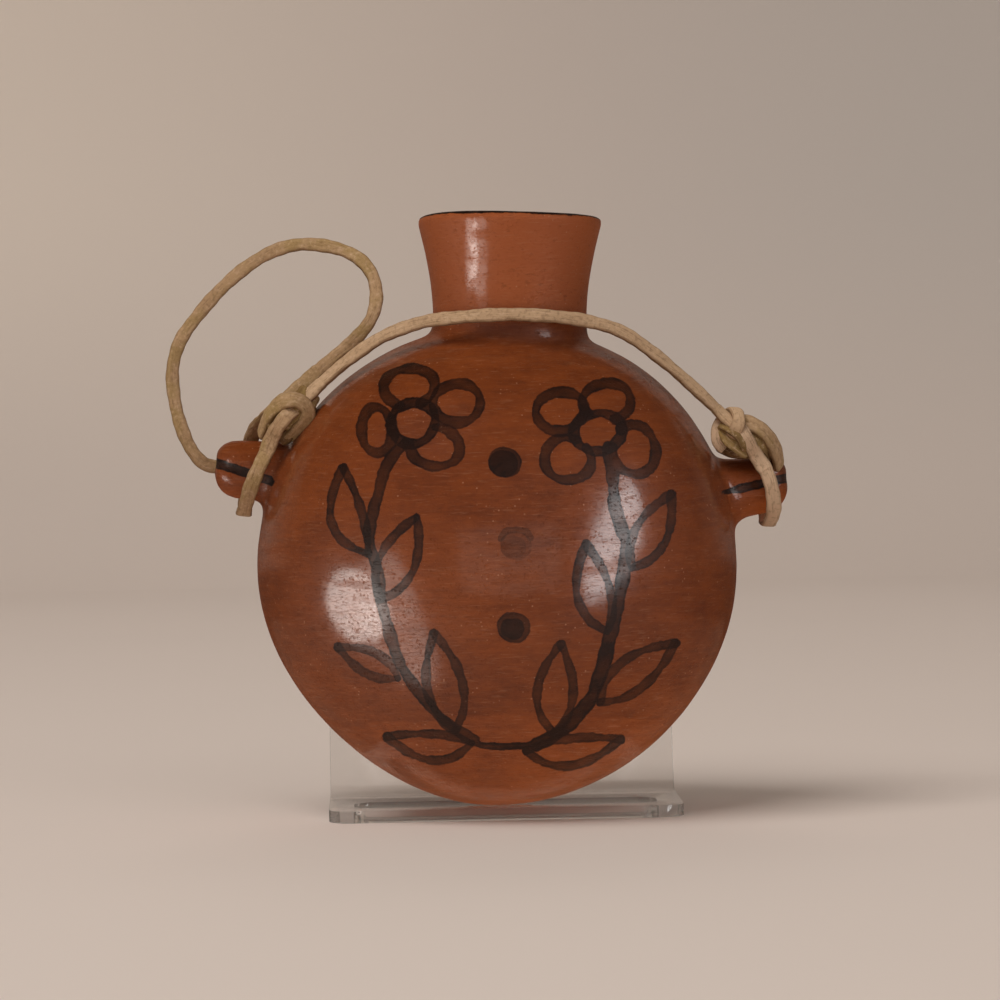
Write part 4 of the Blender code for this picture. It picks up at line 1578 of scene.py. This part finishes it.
@dataclass(frozen=True)
class Stand:
    """One clear sheet, cut flat with its window and then bent up at the back."""

    sheet: float = 0.0030
    width: float = 0.0880
    middle: float = -0.000556
    front: float = -0.017352
    window_middle: float = -0.001852
    window_depth: float = 0.0150
    window_corner: float = 0.0050
    side_arm: float = 0.0062
    bend_start: float = 0.022150
    bend_radius: float = 0.0035
    bend_turn: float = math.radians(72)
    panel: float = 0.05746
    foot_corner: float = 0.0060
    panel_corner: float = 0.0080
    edge: float = 0.00025

    def build(self) -> bpy.types.Object:
        """Cuts the blank, bends it, rounds its edges and dresses it.

        Returns:
            The stand in its place.
        """
        blank = self._blank()
        merge_into(blank, self._window(), "DIFFERENCE")
        self._bend(blank)
        finish_with(blank, "BEVEL", width=self.edge, segments=2, limit_method="ANGLE")
        take_up(blank)
        bpy.ops.object.shade_smooth_by_angle(angle=math.radians(30))
        blank.data.materials.clear()
        blank.data.materials.append(ClearAcrylic().make())
        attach(blank, BODY)
        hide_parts("stand")
        return blank

    @property
    def _bend_length(self) -> float:
        """Length of the bend along the middle of the sheet."""
        return (self.bend_radius + self.sheet / 2) * self.bend_turn

    def _plate(
        self, name: str, x: tuple, y: tuple, z: tuple, corners: Callable[[Vector], float]
    ) -> bpy.types.Object:
        """A flat plate whose upright corner edges are rounded.

        Args:
            name: The object's name.
            x: Its reach in X.
            y: Its reach in Y.
            z: Its reach in Z.
            corners: Gives the radius of the corner at a place.

        Returns:
            The plate.
        """
        start_fresh()
        low, high = Vector((x[0], y[0], z[0])), Vector((x[1], y[1], z[1]))
        bpy.ops.mesh.primitive_cube_add(size=1.0, location=(low + high) / 2, scale=high - low)
        made = bpy.context.object
        made.name = name
        drop_place(made)
        bpy.ops.object.mode_set(mode="EDIT")
        bpy.ops.mesh.select_mode(type="EDGE")
        for radius in sorted({corners(v.co) for v in made.data.vertices}):
            mesh = bmesh.from_edit_mesh(made.data)
            for edge in mesh.edges:
                a, b = (v.co for v in edge.verts)
                upright = abs(a.z - b.z) > (z[1] - z[0]) / 2
                edge.select_set(upright and corners(a) == radius and self._is_corner(a, x, y))
            bmesh.update_edit_mesh(made.data)
            bpy.ops.mesh.bevel(offset=radius, segments=12, affect="EDGES")
        bpy.ops.object.mode_set(mode="OBJECT")
        return made

    @staticmethod
    def _is_corner(place: Vector, x: tuple, y: tuple) -> bool:
        """Whether a place is at one of the plate's four sharp corners."""
        pairs = ((place.x, x), (place.y, y))
        return all(min(abs(at - end) for end in ends) < TINY for at, ends in pairs)

    def _blank(self) -> bpy.types.Object:
        """The flat sheet before it is bent, with cuts across it where it will bend."""
        half = self.width / 2
        end = self.bend_start + self._bend_length + self.panel
        made = self._plate(
            "stand_sheet",
            (self.middle - half, self.middle + half),
            (self.front, end),
            (0.0, self.sheet),
            lambda co: self.foot_corner if co.y < 0 else self.panel_corner,
        )
        take_up(made)
        bpy.ops.object.mode_set(mode="EDIT")
        steps = 20
        for i in range(steps + 1):
            bpy.ops.mesh.select_all(action="SELECT")
            across = (0.0, self.bend_start + self._bend_length * i / steps, 0.0)
            bpy.ops.mesh.bisect(plane_co=across, plane_no=(0.0, 1.0, 0.0))
        bpy.ops.object.mode_set(mode="OBJECT")
        return made

    def _window(self) -> bpy.types.Object:
        """What is cut out of the sheet for the body to sit in."""
        half = self.width / 2 - self.side_arm
        deep = self.window_depth / 2
        return self._plate(
            "window",
            (self.middle - half, self.middle + half),
            (self.window_middle - deep, self.window_middle + deep),
            (-self.sheet, 2 * self.sheet),
            lambda co: self.window_corner,
        )

    def _bend(self, made: bpy.types.Object) -> None:
        """Bends the flat blank up at the back."""
        places = places_of(made)
        past = places[:, 1] - self.bend_start
        share = np.clip(past / self._bend_length, 0, 1)
        angle = share * self.bend_turn
        radius = self.bend_radius + self.sheet - places[:, 2]
        beyond = np.clip(past - self._bend_length, 0, None)
        y = self.bend_start + radius * np.sin(angle) + beyond * math.cos(self.bend_turn)
        z = self.sheet + self.bend_radius - radius * np.cos(angle)
        z = z + beyond * math.sin(self.bend_turn)
        bent = past > 0
        places[:, 1], places[:, 2] = (
            np.where(bent, y, places[:, 1]),
            np.where(bent, z, places[:, 2]),
        )
        put_places(made, places)


# The studio


class Target(Enum):
    """What a lamp is kept to."""

    ALL = "all"
    CLAY = "clay"
    WALL = "wall"


class Reach(Enum):
    """What a lamp does: fills a surface with light, or shines on it as a reflection."""

    FILL = "fill"
    SHINE = "shine"


@dataclass(frozen=True)
class Lamp:
    """One soft light: where it stands about the body's centre, its size and its brightness."""

    name: str
    azimuth: float
    elevation: float
    distance: float
    size: tuple
    brightness: float
    reach: Reach
    colour: tuple = (1.0, 0.97, 0.94)
    target: Target = Target.ALL
    roll: float = 0.0
    rounded: bool = False

    def make(self, targets: dict[Target, bpy.types.Object]) -> None:
        """Hangs the light so that it faces the vessel.

        Args:
            targets: The object that each kind of kept light shines on.
        """
        made_light = bpy.data.lights.new(self.name, "AREA")
        made_light.shape = "ELLIPSE" if self.rounded else "RECTANGLE"
        made_light.size, made_light.size_y = self.size
        made_light.energy = self.brightness * math.pi * self.size[0] * self.size[1]
        made_light.color = self.colour
        made = bpy.data.objects.new(self.name, made_light)
        turn, rise = math.radians(self.azimuth), math.radians(self.elevation)
        way = Vector(
            (math.sin(turn) * math.cos(rise), -math.cos(turn) * math.cos(rise), math.sin(rise))
        )
        made.location = BODY_CENTRE + way * self.distance
        facing = (-way).to_track_quat("-Z", "Y").to_matrix()
        facing = facing @ Matrix.Rotation(math.radians(self.roll), 3, "Z")
        made.rotation_euler = facing.to_euler()
        made.visible_camera = False
        made.visible_transmission = False
        made.visible_diffuse = self.reach is not Reach.SHINE
        made.visible_glossy = self.reach is not Reach.FILL
        bpy.context.scene.collection.objects.link(made)
        if self.target in targets:
            only = bpy.data.collections.new(f"{self.name}_target")
            only.objects.link(targets[self.target])
            made.light_linking.receiver_collection = only
            made.light_linking.blocker_collection = only


@dataclass(frozen=True)
class Studio:
    """A plain pale floor that sweeps up into the wall, and soft light."""

    floor_front: float = -6.0
    sweep_start: float = 1.15
    sweep_radius: float = 0.9
    wall: float = 1.2
    half_width: float = 8.0
    sky: tuple = (1.0, 0.86, 0.73)
    sky_strength: float = 0.17
    lamps: tuple = (
        Lamp("key", -46.0, 57.0, 2.3, (1.5, 1.2), 5.7, Reach.FILL),
        Lamp("front", 20.0, 35.0, 2.6, (1.8, 1.2), 1.0, Reach.FILL),
        Lamp("wall_wash", -40.0, 3.0, 1.4, (1.2, 0.12), 10.5, Reach.FILL, target=Target.WALL),
        Lamp("table_glow", 0.0, -72.0, 0.8, (1.0, 1.0), 2.9, Reach.FILL, target=Target.CLAY),
        Lamp(
            "table", 0.0, -90.0, 0.061, (0.40, 0.40), 0.11, Reach.SHINE, (1.0, 0.80, 0.62),
            Target.CLAY,
        ),
        Lamp("room", 4.0, 5.0, 1.5, (1.0, 0.66), 0.50, Reach.SHINE, (1.0, 0.93, 0.86)),
        Lamp("back_top", 178.0, 44.0, 1.6, (0.7, 0.4), 2.0, Reach.FILL),
        Lamp(
            "right_window", 47.0, 9.0, 1.1, (0.34, 1.0), 6.0, Reach.SHINE, (0.97, 0.99, 1.0),
            roll=-30.0, rounded=True,
        ),
        Lamp(
            "left_window", -61.0, -14.0, 1.1, (0.58, 0.56), 6.8, Reach.SHINE, (1.0, 0.94, 0.88),
            Target.CLAY, rounded=True,
        ),
        Lamp(
            "left_table", -45.0, -18.0, 1.1, (0.50, 1.10), 1.9, Reach.SHINE, (1.0, 0.92, 0.85),
            Target.CLAY, rounded=True,
        ),
    )

    def build(self, vessel: bpy.types.Object) -> None:
        """Sets up the floor, the lights and the world.

        Args:
            vessel: The clay vessel, for the lights that are kept to it.
        """
        floor, wall = self._backdrop()
        for lamp in self.lamps:
            lamp.make({Target.CLAY: vessel, Target.WALL: wall})
        world = bpy.data.worlds.new("soft_sky")
        world.use_nodes = True
        ground = world.node_tree.nodes["Background"]
        ground.inputs["Color"].default_value = (*self.sky, 1.0)
        ground.inputs["Strength"].default_value = self.sky_strength
        world.cycles_visibility.glossy = False
        bpy.context.scene.world = world
        bpy.context.scene.view_settings.view_transform = "Standard"

    def _sheet(self, name: str, start: float, end: float, cuts: int) -> bpy.types.Object:
        """One part of the backdrop, made flat and then swept up.

        Args:
            name: The object's name.
            start: Where it begins along the flat sheet.
            end: Where it ends along the flat sheet.
            cuts: How many strips its bent part has.

        Returns:
            The sheet, which curves up past where the sweep starts.
        """
        start_fresh()
        bpy.ops.mesh.primitive_plane_add(size=1.0)
        made = bpy.context.object
        made.name = name
        bpy.ops.object.mode_set(mode="EDIT")
        bpy.ops.mesh.select_all(action="SELECT")
        size = (2 * self.half_width, end - start, 1.0)
        bpy.ops.transform.resize(value=size, center_override=(0.0, 0.0, 0.0))
        bpy.ops.transform.translate(value=(0.0, (end + start) / 2, 0.0))
        bend = self.sweep_radius * math.pi / 2
        for i in range(cuts):
            bpy.ops.mesh.select_all(action="SELECT")
            across = (0.0, self.sweep_start + bend * (i + 1) / cuts, 0.0)
            bpy.ops.mesh.bisect(plane_co=across, plane_no=(0.0, 1.0, 0.0))
        bpy.ops.object.mode_set(mode="OBJECT")
        places = places_of(made)
        past = places[:, 1] - self.sweep_start
        angle = np.clip(past / bend, 0, 1) * math.pi / 2
        beyond = np.clip(past - bend, 0, None)
        places[:, 1] = np.where(
            past > 0, self.sweep_start + self.sweep_radius * np.sin(angle), places[:, 1]
        )
        places[:, 2] = self.sweep_radius * (1 - np.cos(angle)) + beyond
        put_places(made, places)
        made.data.shade_smooth()
        return made

    def _backdrop(self) -> list[bpy.types.Object]:
        """The floor and the wall, which meet without a line."""
        end = self.sweep_start + self.sweep_radius * math.pi / 2 + self.wall
        floor = self._sheet("floor_sheet", self.floor_front, self.sweep_start, 0)
        wall = self._sheet("wall_sweep", self.sweep_start, end, 32)
        plaster = Plaster().make()
        for sheet in (floor, wall):
            sheet.data.materials.append(plaster)
        floor.visible_glossy = False
        return [floor, wall]


def corners(box: Sequence[Vector]) -> list[list[float]]:
    """A box as plain lists of numbers."""
    return [[float(v) for v in corner] for corner in box]


def main() -> None:
    """Loads the solids, and builds the pieces around them in order."""
    logging.basicConfig(level=logging.INFO, format="%(message)s")
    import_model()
    view = Viewpoint()
    view.make()
    Thong().build()
    LOG.info("thong tied")
    vessel = CLAY.build(view)
    LOG.info("vessel modelled with %d faces", len(vessel.data.polygons))
    stand = Stand().build()
    LOG.info("stand bent with %d faces", len(stand.data.polygons))
    Studio().build(vessel)
    LOG.info("studio lit")
    bpy.context.view_layer.update()


if __name__ == "__main__":
    main()
